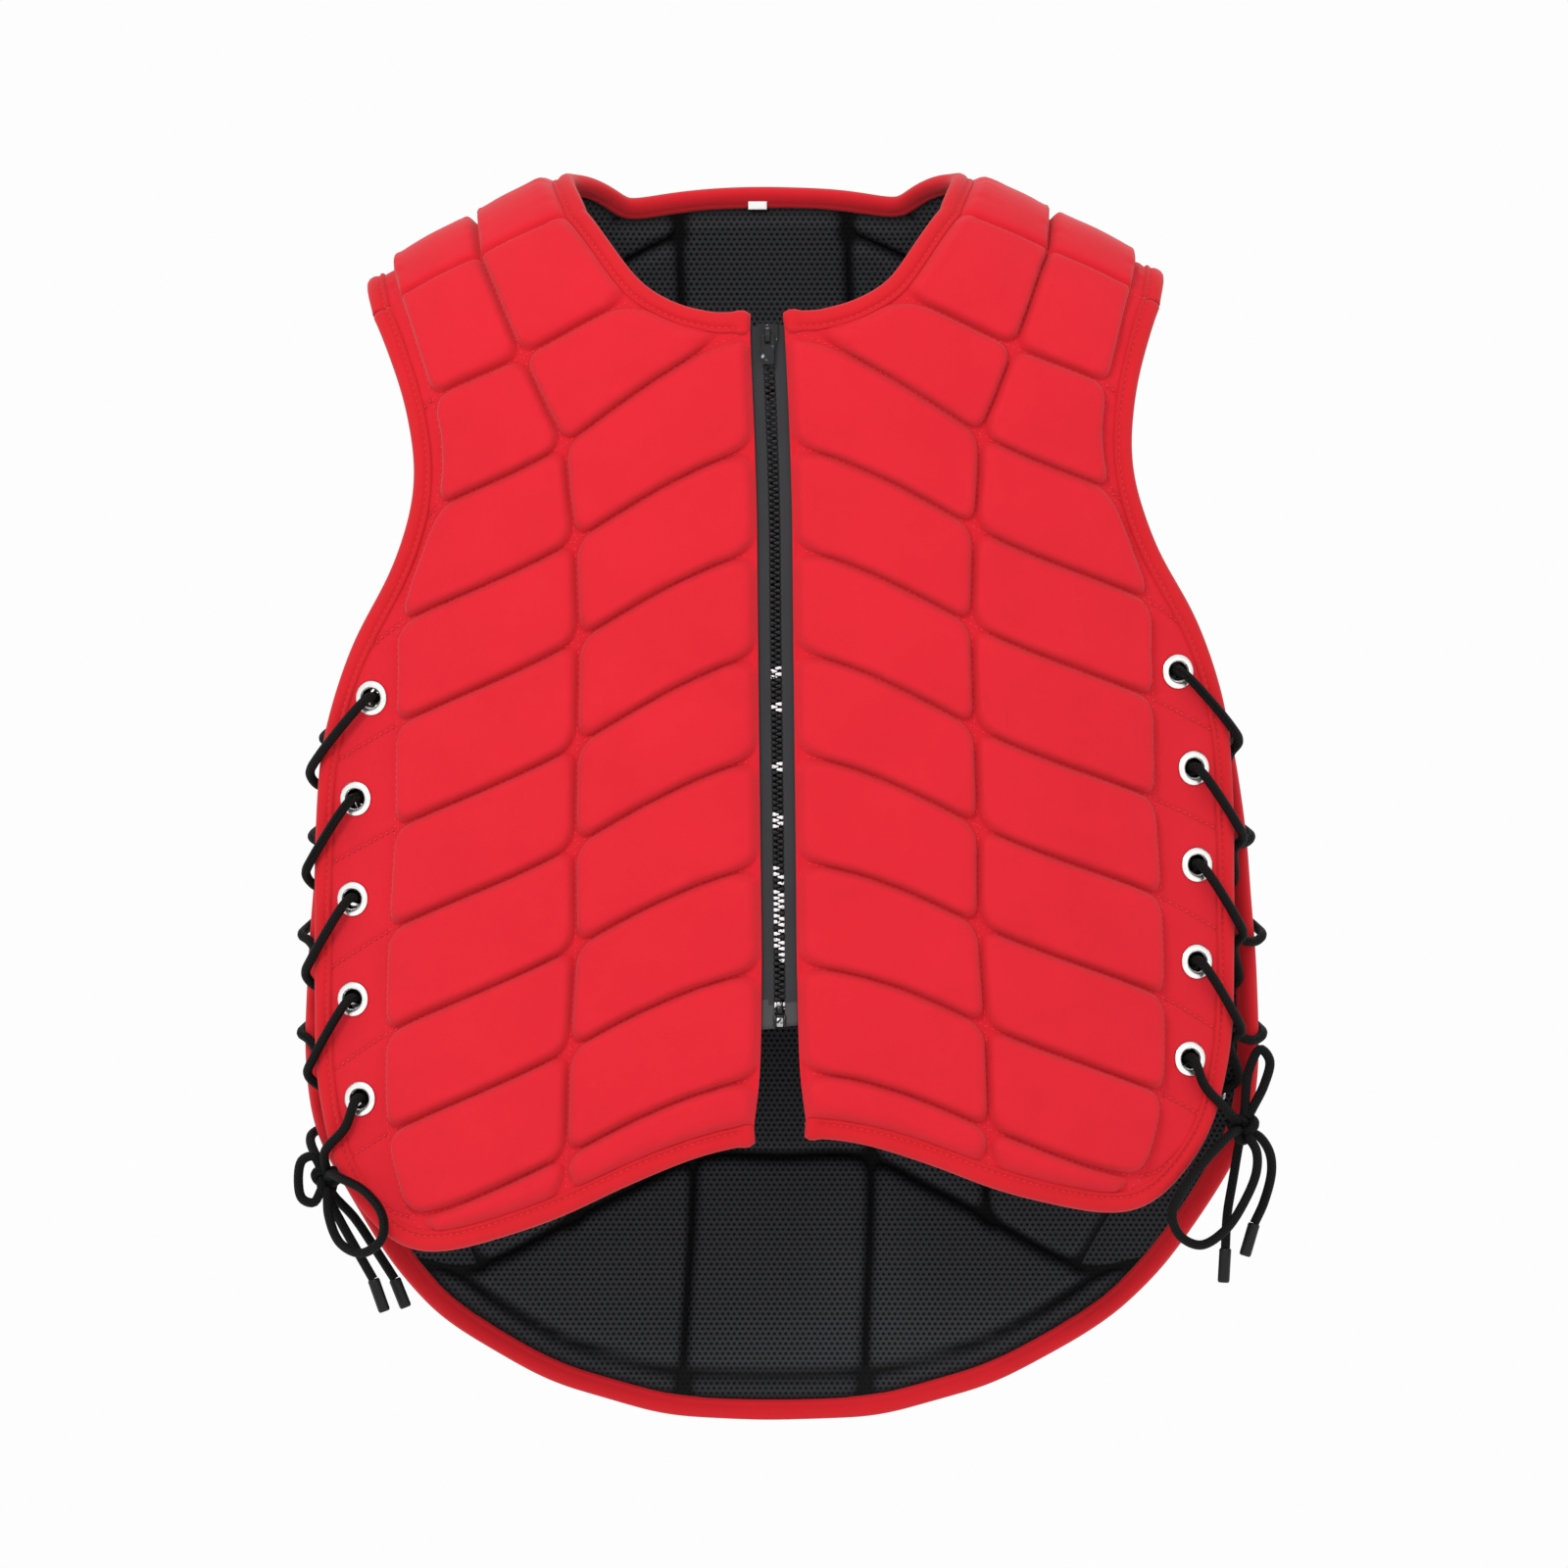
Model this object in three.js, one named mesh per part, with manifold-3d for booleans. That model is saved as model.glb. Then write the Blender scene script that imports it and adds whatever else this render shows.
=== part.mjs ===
// An equestrian body protector: a quilted foam vest with a front zip, laced down both sides.
// Millimetres, +Z up, the front faces -Y. The origin is where the straps sit, midway between the shoulders.
import * as THREE from "three";
import { mergeVertices } from "three/addons/utils/BufferGeometryUtils.js";
import Module from "manifold-3d";

const wasm = await Module();
wasm.setup();

const { clamp, lerp, smoothstep } = THREE.MathUtils;

// Overall form. The wall's middle surface is a lens: two shallow curves that face each other.
const height = 653; // neck peak to the lowest point of the tail
const neckPeak = 46; // neck peak above the origin
const halfWidth = 240; // over the side bindings at the hips
const edgeDepth = 14; // middle plane to the wall at the side edges
const chestDepth = 60; // how far the front bulges beyond that
const backDepth = 55;
const roundness = 2.3; // exponent of the bulge: 2 is a parabola
const neckHalfWidth = 98;
const shoulderHalfWidth = 207;
const shoulderDrop = 56; // neck peak to shoulder end
const shoulderRound = 110; // the wall reaches full depth this far below the crest
const shoulderSpread = 50; // the bulge is this much wider at the shoulders
const armholeFloor = -210;

// How the vest hangs: its left side lower, its shoulders leaning, its back slid to one side.
const hemSkew = 10.7;
const shoulderLean = 6;
const zipSlant = 3;
const backSlide = 4;

// Walls
const gap = 0.3; // between pieces that touch
const shellWall = 2.3;
const blockRise = 6.5;
const liningWall = 1.8;
const liningRise = 3.5;
const grooveHalf = 5;
const edgeSlope = 8; // from a bound edge up to the top of its blocks
const mostShare = 0.45; // of a cell that one groove's slope may take
const mitreLimit = 0.6; // keeps a sharp corner of the binding from growing long

// Trim
const bindingWidth = 9.5;
const bindingThick = 8;
const labelWidth = 9.7;
const labelHeight = 4;
const labelThick = 0.5;
const labelShift = 3; // off the middle of the neck

// Zip, from its slider's top down
const zipTop = -35;
const zipLength = 365.5;
const zipSteps = 10;
const chainWidth = 6.4;
const chainThick = 2.6;
const tapeThick = 1.2;
const sliderWidth = 10.4;
const sliderFoot = 7; // its width at the lower end
const sliderLength = 13;
const sliderPlate = 2;
const sliderNose = 1.7; // joins the slider's two plates above the chain
const bridgeWidth = 2;
const bridgeInner = 2.4; // radius round the pull's pin
const bridgeOuter = 4.2;
const bridgeDown = 6; // slider top to the pin
const pinStandoff = 1.5; // pin's centre to the slider's plate
const pullWidth = 6.6;
const pullLength = 15;
const pullThick = 1.4;
const pullPlay = 0.5; // between the pull's window and the bridge
const stopWidth = 6.6;
const stopLength = 6.5;
const boxWidth = 7;
const boxLength = 6.8;
const boxThick = 3.4;

// Eyelets and laces
const eyeletCount = 5;
const eyeletHole = 5;
const eyeletBarrel = 6;
const eyeletFlange = 9.2;
const eyeletFlangeThick = 1.3;
const eyeletSides = 7;
const panelHoleSides = 6;
const liningHoleSides = 4;
const eyeletInset = 11.7; // eyelet centre to the panel's edge
const eyeletFirst = 0.411; // share of the height, front panels
const eyeletPitch = 0.0785;
const backEyeletDrop = 0.012;
const laceTurnDrop = 0.022; // from the last eyelet to where the lace crosses the binding
const laceEndDrops = { front: 0.04, back: 0.034 }; // and to where it leaves for the bow
const laceEndsBeyond = { front: 1.2, back: 1.5 }; // of the binding's width, past the edge
const laceTurnInset = 0.3; // of the eyelet inset
const laceDiameter = 5;
const laceSides = 5;
const tailSides = 8;
const knotRadius = 8;
const agletDiameter = 6.4;

// A table is rows of numbers under named columns.
function table(columns, rows) {
  return rows.map((row) => Object.fromEntries(columns.map((name, i) => [name, row[i]])));
}

// Front rows from the shoulder seam to the hem. "out" is a share of the half width, "down" of the height.
const frontColumns = ["zip", "divider", "outer", "side"];
const frontRows = table(
  [
    "groove", "zipOut", "zipDown", "dividerOut", "dividerDown",
    "outerOut", "outerDown", "sideOut", "sideDown",
  ],
  [
    [1, 0.418, 0.041, 0.609, 0.073, 0.786, 0.104, 0.815, 0.109],
    [0, 0.345, 0.077, 0.568, 0.11, 0.755, 0.141, 0.778, 0.147],
    [1, 0.285, 0.105, 0.528, 0.147, 0.727, 0.179, 0.75, 0.187],
    [0, 0.15, 0.128, 0.488, 0.182, 0.712, 0.222, 0.737, 0.23],
    [1, 0.037, 0.129, 0.45, 0.216, 0.728, 0.264, 0.751, 0.272],
    [0, 0.038, 0.175, 0.44, 0.254, 0.77, 0.309, 0.797, 0.32],
    [1, 0.038, 0.222, 0.43, 0.291, 0.809, 0.354, 0.878, 0.372],
    [0, 0.038, 0.263, 0.426, 0.33, 0.812, 0.394, 0.92, 0.4125],
    [1, 0.038, 0.304, 0.423, 0.369, 0.815, 0.433, 0.949, 0.46],
    [1, 0.038, 0.386, 0.428, 0.452, 0.819, 0.514, 0.959, 0.54],
    [1, 0.038, 0.468, 0.433, 0.531, 0.832, 0.594, 0.96, 0.622],
    [1, 0.038, 0.554, 0.434, 0.611, 0.838, 0.675, 0.956, 0.703],
    [1, 0.038, 0.637, 0.447, 0.692, 0.834, 0.753, 0.918, 0.771],
    [1, 0.044, 0.722, 0.454, 0.775, 0.79, 0.819, 0.868, 0.803],
    [0, 0.056, 0.76, 0.456, 0.806, 0.76, 0.834, 0.818, 0.824],
  ],
);

const zipRow = 4; // the front row that starts at the corner of neck and zip

// Back rows below the shoulders, from the neck's edge to the tail's edge, in the same shares.
const backColumns = ["centre", "spine", "mid", "divider", "outer", "side"];
const backRows = table(
  [
    "groove", "centreDown", "spineOut", "spineDown", "midOut", "midDown",
    "dividerOut", "dividerDown", "outerOut", "outerDown", "sideOut", "sideDown",
  ],
  [
    [0, 0.027, 0.185, 0.03, 0.31, 0.039, 0.6, 0.07, 0.77, 0.102, 0.8, 0.108],
    [1, 0.053, 0.185, 0.05, 0.3, 0.067, 0.545, 0.127, 0.722, 0.178, 0.745, 0.187],
    [1, 0.178, 0.185, 0.178, 0.31, 0.198, 0.46, 0.221, 0.72, 0.268, 0.748, 0.28],
    [0, 0.256, 0.185, 0.256, 0.31, 0.275, 0.445, 0.298, 0.762, 0.337, 0.81, 0.346],
    [1, 0.33, 0.185, 0.33, 0.31, 0.348, 0.43, 0.373, 0.8, 0.416, 0.925, 0.43],
    [1, 0.482, 0.187, 0.482, 0.312, 0.502, 0.43, 0.525, 0.815, 0.572, 0.985, 0.596],
    [1, 0.635, 0.19, 0.635, 0.315, 0.654, 0.435, 0.678, 0.82, 0.728, 0.988, 0.748],
    [0, 0.711, 0.192, 0.712, 0.318, 0.733, 0.442, 0.758, 0.76, 0.8, 0.925, 0.799],
    [1, 0.787, 0.194, 0.789, 0.323, 0.812, 0.45, 0.836, 0.66, 0.874, 0.8, 0.868],
    [0, 0.985, 0.2, 0.982, 0.335, 0.97, 0.47, 0.954, 0.635, 0.921, 0.72, 0.9],
  ],
);

// Strap rows over each shoulder, from the front seam back. "fall" is a share of shoulderRound below the crest.
const strapRows = table(
  ["face", "fall", "midOut", "dividerOut", "outerOut", "sideOut"],
  [
    [-1, 0.022, 0.446, 0.615, 0.8, 0.826],
    [1, 0.022, 0.435, 0.612, 0.79, 0.82],
    [1, 0.09, 0.388, 0.607, 0.782, 0.812],
  ],
);

const crestPeak = neckPeak - bindingThick / 2;
const crestSlope = shoulderDrop / (shoulderHalfWidth - neckHalfWidth);

function heightAt(down) {
  return neckPeak - height * down;
}

// The line over the shoulders where front meets back, carried across the neck as a smooth arch.
function crestHeight(x) {
  const out = Math.abs(x);
  if (out > neckHalfWidth) return crestPeak - crestSlope * (out - neckHalfWidth);
  return crestPeak + (crestSlope * neckHalfWidth * (1 - (out / neckHalfWidth) ** 2)) / 2;
}

// The wall's middle surface: its y at a place in the front view. face is -1 in front, 1 behind.
function wallDepth(x, z, face) {
  const spread = halfWidth + shoulderSpread * smoothstep(z, armholeFloor, 0);
  const bulge = face < 0 ? chestDepth : backDepth;
  const across = clamp(Math.abs(x) / spread, 0, 1) ** roundness;
  const fall = clamp((crestHeight(x) - z) / shoulderRound, 0, 1);
  return face * (edgeDepth + bulge * (1 - across)) * Math.sqrt(1 - (1 - fall) ** 2);
}

function wallPlace(x, z, face) {
  const step = 0.5;
  const slopeX = (wallDepth(x + step, z, face) - wallDepth(x - step, z, face)) / (2 * step);
  const slopeZ = (wallDepth(x, z + step, face) - wallDepth(x, z - step, face)) / (2 * step);
  return {
    point: new THREE.Vector3(x, wallDepth(x, z, face), z),
    normal: new THREE.Vector3(-slopeX, 1, -slopeZ).multiplyScalar(face).normalize(),
  };
}

// Moves a point from the even form to the way the vest hangs.
function settle(point, face) {
  const down = clamp((neckPeak - point.z) / height, 0, 1);
  const out = Math.abs(point.x) / halfWidth;
  const held = face < 0 ? 1 : 1 - smoothstep(down, 0.12, 0.4);
  const skew = hemSkew * (out / 0.8) ** 0.7 * (down / 0.84) ** 0.7 * held;
  const lean = -shoulderLean * (1 - smoothstep(down, 0, 0.3));
  const slant = zipSlant * smoothstep(down, 0.2, 0.75) * Math.max(0, 1 - out);
  const slide = backSlide * smoothstep(down, 0.2, 0.6) * (1 - smoothstep(down, 0.8, 0.97));
  const settled = point.clone();
  settled.x += lean + (face < 0 ? slant : slide);
  settled.z += Math.sign(point.x) * skew;
  return settled;
}

// The rows of a front panel as wall places, one list a row, with a place halfway between columns.
function frontGrid(side) {
  return frontRows.map((row) => {
    const stops = frontColumns.map((name) => [row[name + "Out"], row[name + "Down"]]);
    const [zip, divider, outer, edge] = stops;
    const across = [zip, middle(zip, divider), divider, middle(divider, outer), outer, edge];
    return across.map(([out, down]) => wallPlace(side * out * halfWidth, heightAt(down), -1));
  });
}

function middle(a, b) {
  return [(a[0] + b[0]) / 2, (a[1] + b[1]) / 2];
}

// The rows of the back, from the front seam over the straps and down, each from left to right.
function backGrid() {
  const seam = frontRows[0];
  const names = ["mid", "divider", "outer", "side"];
  const seamStops = { mid: "zip", divider: "divider", outer: "outer", side: "side" };
  const mirrored = (place) => {
    const left = backColumns.slice(1).reverse().map((name) => place(name, -1));
    const right = backColumns.slice(1).map((name) => place(name, 1));
    return [...left, place("centre", 1), ...right];
  };
  const rows = [];
  rows.push(
    mirrored((name, side) => {
      if (!names.includes(name)) return null;
      const out = seam[seamStops[name] + "Out"];
      return wallPlace(side * out * halfWidth, heightAt(seam[seamStops[name] + "Down"]), -1);
    }),
  );
  for (const row of strapRows) {
    rows.push(
      mirrored((name, side) => {
        if (!names.includes(name)) return null;
        const x = side * row[name + "Out"] * halfWidth;
        return wallPlace(x, crestHeight(x) - row.fall * shoulderRound, row.face);
      }),
    );
  }
  for (const row of backRows) {
    rows.push(
      mirrored((name, side) => {
        const x = name === "centre" ? 0 : side * row[name + "Out"] * halfWidth;
        return wallPlace(x, heightAt(row[name + "Down"]), 1);
      }),
    );
  }
  return rows;
}

// Fine lines near a coarse line: how far each lies from it, towards which neighbour, and how high its blocks are.
function fineLines(kinds) {
  const shapes = {
    groove: [[-grooveHalf, 1], [0, 0], [grooveHalf, 1]],
    seam: [[0, 0], [grooveHalf, 1]],
    plain: [[0, 1]],
    edgeStart: [[0, 0], [edgeSlope, 1]],
    edgeEnd: [[-edgeSlope, 1], [0, 0]],
    blockEnd: [[-grooveHalf, 1], [0, 0]],
    blockStart: [[0, 0], [grooveHalf, 1]],
    flat: [[0, 0]],
  };
  return kinds.flatMap((kind, at) => shapes[kind].map(([reach, lift]) => ({ at, reach, lift })));
}

// A place on the coarse grid: row and column lines blend the four places round them.
function gridPlace(grid, rowLine, columnLine, rowPitch) {
  const nextRow = rowLine.at + Math.sign(rowLine.reach);
  const downShare = rowLine.reach === 0 ? 0 : Math.abs(rowLine.reach) / rowPitch(rowLine.at, nextRow);
  const along = (column) => {
    const from = grid[rowLine.at][column];
    if (downShare === 0) return from;
    return blend(from, grid[nextRow][column], downShare);
  };
  const here = along(columnLine.at);
  if (columnLine.reach === 0) return here;
  const beside = along(columnLine.at + Math.sign(columnLine.reach));
  const span = here.point.distanceTo(beside.point);
  return blend(here, beside, Math.min(Math.abs(columnLine.reach) / span, mostShare));
}

function blend(a, b, share) {
  return {
    point: a.point.clone().lerp(b.point, share),
    normal: a.normal.clone().lerp(b.normal, share).normalize(),
  };
}

// A closed wall over a grid. Its outer face has every fine line, its plain face only the coarse ones.
function wallGeometry({ grid, rowLines, columnLines, rowPitch, isPart, relief, plain }) {
  const rowStarts = grid.map((_, at) => rowLines.findIndex((line) => line.at === at && line.reach === 0));
  const columnStarts = grid[0].map((_, at) =>
    columnLines.findIndex((line) => line.at === at && line.reach === 0),
  );
  const cache = new Map();
  const fine = (i, j) => {
    const key = i * 1000 + j;
    if (!cache.has(key)) {
      const place = gridPlace(grid, rowLines[i], columnLines[j], rowPitch);
      cache.set(key, relief(place, rowLines[i], columnLines[j]));
    }
    return cache.get(key);
  };
  const coarse = (r, c) => plain(grid[r][c]);
  const triangles = [];
  const quad = (a, b, c, d) => triangles.push(a, b, c, a, c, d);
  const join = (run, first, last) => {
    const half = Math.floor((run.length - 1) / 2);
    for (let i = 0; i < run.length - 1; i++) {
      triangles.push(run[i + 1], run[i], i < half ? first : last);
    }
    triangles.push(first, last, run[half]);
  };
  const range = (from, to) => {
    const step = Math.sign(to - from);
    return Array.from({ length: Math.abs(to - from) + 1 }, (_, i) => from + i * step);
  };
  for (let r = 0; r < grid.length - 1; r++) {
    for (let c = 0; c < grid[0].length - 1; c++) {
      if (!isPart(r, c)) continue;
      const [top, bottom] = [rowStarts[r], rowStarts[r + 1]];
      const [near, far] = [columnStarts[c], columnStarts[c + 1]];
      for (let i = top; i < bottom; i++) {
        for (let j = near; j < far; j++) {
          quad(fine(i, j), fine(i, j + 1), fine(i + 1, j + 1), fine(i + 1, j));
        }
      }
      quad(coarse(r, c), coarse(r + 1, c), coarse(r + 1, c + 1), coarse(r, c + 1));
      if (!isPart(r - 1, c)) {
        join(range(near, far).map((j) => fine(top, j)), coarse(r, c), coarse(r, c + 1));
      }
      if (!isPart(r, c + 1)) {
        join(range(top, bottom).map((i) => fine(i, far)), coarse(r, c + 1), coarse(r + 1, c + 1));
      }
      if (!isPart(r + 1, c)) {
        join(range(far, near).map((j) => fine(bottom, j)), coarse(r + 1, c + 1), coarse(r + 1, c));
      }
      if (!isPart(r, c - 1)) {
        join(range(bottom, top).map((i) => fine(i, near)), coarse(r + 1, c), coarse(r, c));
      }
    }
  }
  return facingOut(triangles);
}

// Triangles as a geometry whose faces point out, whichever way round they were listed.
function facingOut(corners) {
  let volume = 0;
  for (let i = 0; i < corners.length; i += 3) {
    volume += corners[i].dot(new THREE.Vector3().crossVectors(corners[i + 1], corners[i + 2]));
  }
  const ordered = volume < 0 ? corners.slice().reverse() : corners;
  return new THREE.BufferGeometry().setFromPoints(ordered);
}

// A closed bar along stations, each a centre with an out and an up direction; the section is [out, up] pairs.
function barGeometry(stations, section) {
  const rings = stations.map(({ centre, out, up }) =>
    section.map(([a, b]) => centre.clone().addScaledVector(out, a).addScaledVector(up, b)),
  );
  const triangles = [];
  for (let i = 0; i < rings.length - 1; i++) {
    for (let k = 0; k < section.length; k++) {
      const next = (k + 1) % section.length;
      const [a, b, c, d] = [rings[i][k], rings[i][next], rings[i + 1][next], rings[i + 1][k]];
      triangles.push(a, b, c, a, c, d);
    }
  }
  const last = rings[rings.length - 1];
  for (let k = 1; k < section.length - 1; k++) {
    triangles.push(rings[0][0], rings[0][k + 1], rings[0][k]);
    triangles.push(last[0], last[k], last[k + 1]);
  }
  return facingOut(triangles);
}

// Boolean cuts
function solidOf(geometry) {
  const bare = geometry.clone();
  bare.deleteAttribute("normal");
  bare.deleteAttribute("uv");
  const merged = mergeVertices(bare, 1e-4);
  return new wasm.Manifold(
    new wasm.Mesh({
      numProp: 3,
      vertProperties: merged.attributes.position.array,
      triVerts: new Uint32Array(merged.index.array),
    }),
  );
}

function geometryOf(solid) {
  const mesh = solid.getMesh();
  const geometry = new THREE.BufferGeometry();
  geometry.setAttribute("position", new THREE.BufferAttribute(mesh.vertProperties, 3));
  geometry.setIndex(new THREE.BufferAttribute(mesh.triVerts, 1));
  return geometry;
}

function cutHoles(geometry, cutters) {
  let solid = solidOf(geometry);
  for (const cutter of cutters) solid = solid.subtract(solidOf(cutter));
  return geometryOf(solid);
}

// Materials
const redCloth = () => new THREE.MeshStandardMaterial({ color: 0xd5202e, roughness: 0.85 });
const redTape = () => new THREE.MeshStandardMaterial({ color: 0xcc1824, roughness: 0.8 });
const blackMesh = () => new THREE.MeshStandardMaterial({ color: 0x232326, roughness: 0.9 });
const blackCord = () => new THREE.MeshStandardMaterial({ color: 0x0e0e0f, roughness: 0.8 });
const blackPlastic = () => new THREE.MeshStandardMaterial({ color: 0x141415, roughness: 0.45 });
const greyTape = () => new THREE.MeshStandardMaterial({ color: 0x38393b, roughness: 0.85 });
const paintedZinc = () => new THREE.MeshStandardMaterial({ color: 0x17181a, roughness: 0.35, metalness: 0.6 });
const brightNickel = () => new THREE.MeshStandardMaterial({ color: 0xd9dadb, roughness: 0.25, metalness: 1 });
const whiteSatin = () => new THREE.MeshStandardMaterial({ color: 0xf2f2f0, roughness: 0.6 });

const vest = new THREE.Group();

function add(name, geometry, material) {
  const mesh = new THREE.Mesh(geometry, material);
  mesh.name = name;
  vest.add(mesh);
  return mesh;
}

const sides = [
  { name: "left", sign: -1 },
  { name: "right", sign: 1 },
];

// Eyelets: their places along the front and back edges, before and after the vest is settled
function edgeOut(rows, down) {
  const next = rows.findIndex((row) => row.sideDown >= down);
  const [a, b] = [rows[next - 1], rows[next]];
  return lerp(a.sideOut, b.sideOut, (down - a.sideDown) / (b.sideDown - a.sideDown));
}

function edgePlace(face, sign, down) {
  const out = edgeOut(face < 0 ? frontRows : backRows, down);
  return wallPlace(sign * out * halfWidth, heightAt(down), face);
}

function eyeletPlace(face, sign, index) {
  const down = eyeletFirst + index * eyeletPitch + (face > 0 ? backEyeletDrop : 0);
  const edge = edgePlace(face, sign, down);
  const place = wallPlace(edge.point.x - sign * eyeletInset, heightAt(down), face);
  return { face, sign, down, edge, ...place };
}

function eyeletPlaces(face, sign) {
  return Array.from({ length: eyeletCount }, (_, index) => eyeletPlace(face, sign, index));
}

function turnedTo(geometry, place) {
  const turn = new THREE.Quaternion().setFromUnitVectors(new THREE.Vector3(0, 1, 0), place.normal);
  return geometry.clone().applyQuaternion(turn).translate(...settle(place.point, place.face).toArray());
}

function eyeletGeometry() {
  const front = gap / 2 + shellWall + gap;
  const back = -(gap / 2 + liningWall + gap);
  const profile = [
    [eyeletHole, back],
    [eyeletBarrel, back],
    [eyeletBarrel, front],
    [eyeletFlange, front],
    [eyeletHole, front + eyeletFlangeThick],
    [eyeletHole, back],
  ];
  return new THREE.LatheGeometry(
    profile.map(([radius, along]) => new THREE.Vector2(radius, along)),
    eyeletSides,
  );
}

// Prisms that clear the eyelets' barrels: fewer sides where the flange hides the hole.
function eyeletCutters(face, sign, count) {
  const radius = (eyeletBarrel + gap) / Math.cos(Math.PI / count);
  const cutter = new THREE.CylinderGeometry(radius, radius, 4 * (shellWall + liningWall), count);
  return eyeletPlaces(face, sign).map((place) => turnedTo(cutter, place));
}

function addEyelets() {
  const faces = [
    { name: "front", face: -1 },
    { name: "back", face: 1 },
  ];
  for (const { name, face } of faces) {
    for (const side of sides) {
      eyeletPlaces(face, side.sign).forEach((place, index) => {
        add(`eyelet_${name}_${side.name}_${index + 1}`, turnedTo(eyeletGeometry(), place), brightNickel());
      });
    }
  }
}

// Panels and linings
function pointOff(place, offset, face) {
  return settle(place.point.clone().addScaledVector(place.normal, offset), face);
}

// The first row moves half a gap down, so that the seam with the straps stays open by the whole gap.
function trimmedStart(grid, towards) {
  const trimmed = grid.slice();
  trimmed[0] = grid[0].map((place, c) => {
    if (!place) return place;
    const next = grid[towards][c];
    return blend(place, next, gap / 2 / place.point.distanceTo(next.point));
  });
  return trimmed;
}

function cellLift(grid, line, columnAt, pitch) {
  if (line.reach === 0) return line.lift;
  const next = line.at + Math.sign(line.reach);
  const length = grid[line.at][columnAt].point.distanceTo(grid[next][columnAt].point);
  return line.lift * Math.min(1, length / pitch(line.at, next));
}

const frontRowKinds = frontRows.map((row, at) => {
  if (at === 0) return "seam";
  if (at === frontRows.length - 1) return "edgeEnd";
  return row.groove ? "groove" : "plain";
});
const frontColumnKinds = ["edgeStart", "plain", "groove", "plain", "blockEnd", "flat"];

function pitchAlong(grid, column) {
  return (a, b) => grid[a][column].point.distanceTo(grid[b][column].point);
}

function isFrontCell(r, c) {
  return r >= 0 && r < frontRows.length - 1 && c >= 0 && c < frontColumnKinds.length - 1;
}

function addFront(side) {
  const grid = trimmedStart(frontGrid(side.sign), 1);
  const rowPitch = pitchAlong(grid, frontColumnKinds.indexOf("groove"));
  const cutters = (count) => eyeletCutters(-1, side.sign, count);
  const panel = wallGeometry({
    grid,
    rowPitch,
    isPart: isFrontCell,
    rowLines: fineLines(frontRowKinds),
    columnLines: fineLines(frontColumnKinds),
    relief: (place, rowLine, columnLine) => {
      const lift = Math.min(cellLift(grid, rowLine, columnLine.at, rowPitch), columnLine.lift);
      return pointOff(place, gap / 2 + shellWall + blockRise * lift, -1);
    },
    plain: (place) => pointOff(place, gap / 2, -1),
  });
  add(`front_panel_${side.name}`, cutHoles(panel, cutters(panelHoleSides)), redCloth());
  const plainLines = (kinds) => fineLines(kinds.map(() => "flat"));
  const lining = wallGeometry({
    grid,
    rowPitch,
    isPart: isFrontCell,
    rowLines: plainLines(frontRowKinds),
    columnLines: plainLines(frontColumnKinds),
    relief: (place) => pointOff(place, -gap / 2 - liningWall, -1),
    plain: (place) => pointOff(place, -gap / 2, -1),
  });
  add(`front_lining_${side.name}`, cutHoles(lining, cutters(liningHoleSides)), blackMesh());
}

const backColumnKinds = [
  "flat", "blockStart", "groove", "blockStart", "groove", "plain",
  "groove", "blockEnd", "groove", "blockEnd", "flat",
];
const backNeckRow = 1 + strapRows.length; // the row that is the neck's edge behind
const backRowKinds = [
  "seam",
  ...strapRows.map(() => "plain"),
  ...backRows.map((row, at) => {
    if (at === 0) return "blockStart";
    if (at === backRows.length - 1) return "edgeEnd";
    return row.groove ? "groove" : "plain";
  }),
];
const centreColumn = backColumns.length - 1;
const columnOf = (name, sign) => centreColumn + sign * backColumns.indexOf(name);
const strapColumns = { left: columnOf("mid", -1), right: columnOf("mid", 1) }; // the neck's edge along the straps
const dividers = [columnOf("divider", -1), columnOf("divider", 1)];
const tailRow = backRowKinds.length - 2; // the last groove above the tail's edge

function isBackCell(r, c) {
  if (r < 0 || r >= backRowKinds.length - 1 || c < 0 || c >= backColumnKinds.length - 1) return false;
  return r >= backNeckRow || c < strapColumns.left || c >= strapColumns.right;
}

// How high the blocks stand where a row line meets a column line of the back.
function backLift(grid, rowPitch, rowLine, columnLine) {
  const column = columnLine.at + Math.sign(columnLine.reach) / 2;
  const betweenSpines = Math.abs(column - centreColumn) < 1;
  const insideNeck = columnLine.at >= strapColumns.left && columnLine.at <= strapColumns.right;
  const onStrapEdge = columnLine.reach === 0 && Object.values(strapColumns).includes(columnLine.at);
  const belowTailRow = rowLine.at + Math.sign(rowLine.reach) / 2 > tailRow;
  let across = columnLine.lift;
  let down = cellLift(grid, rowLine, columnLine.at, rowPitch);
  if (onStrapEdge) across = rowLine.at > backNeckRow ? 1 : 0;
  if (belowTailRow && dividers.includes(columnLine.at)) across = 1;
  if (rowLine.at === backNeckRow && !insideNeck) down = 1;
  if (rowLine.at === backNeckRow + 1 && betweenSpines) down = 1;
  return Math.min(across, down);
}

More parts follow.
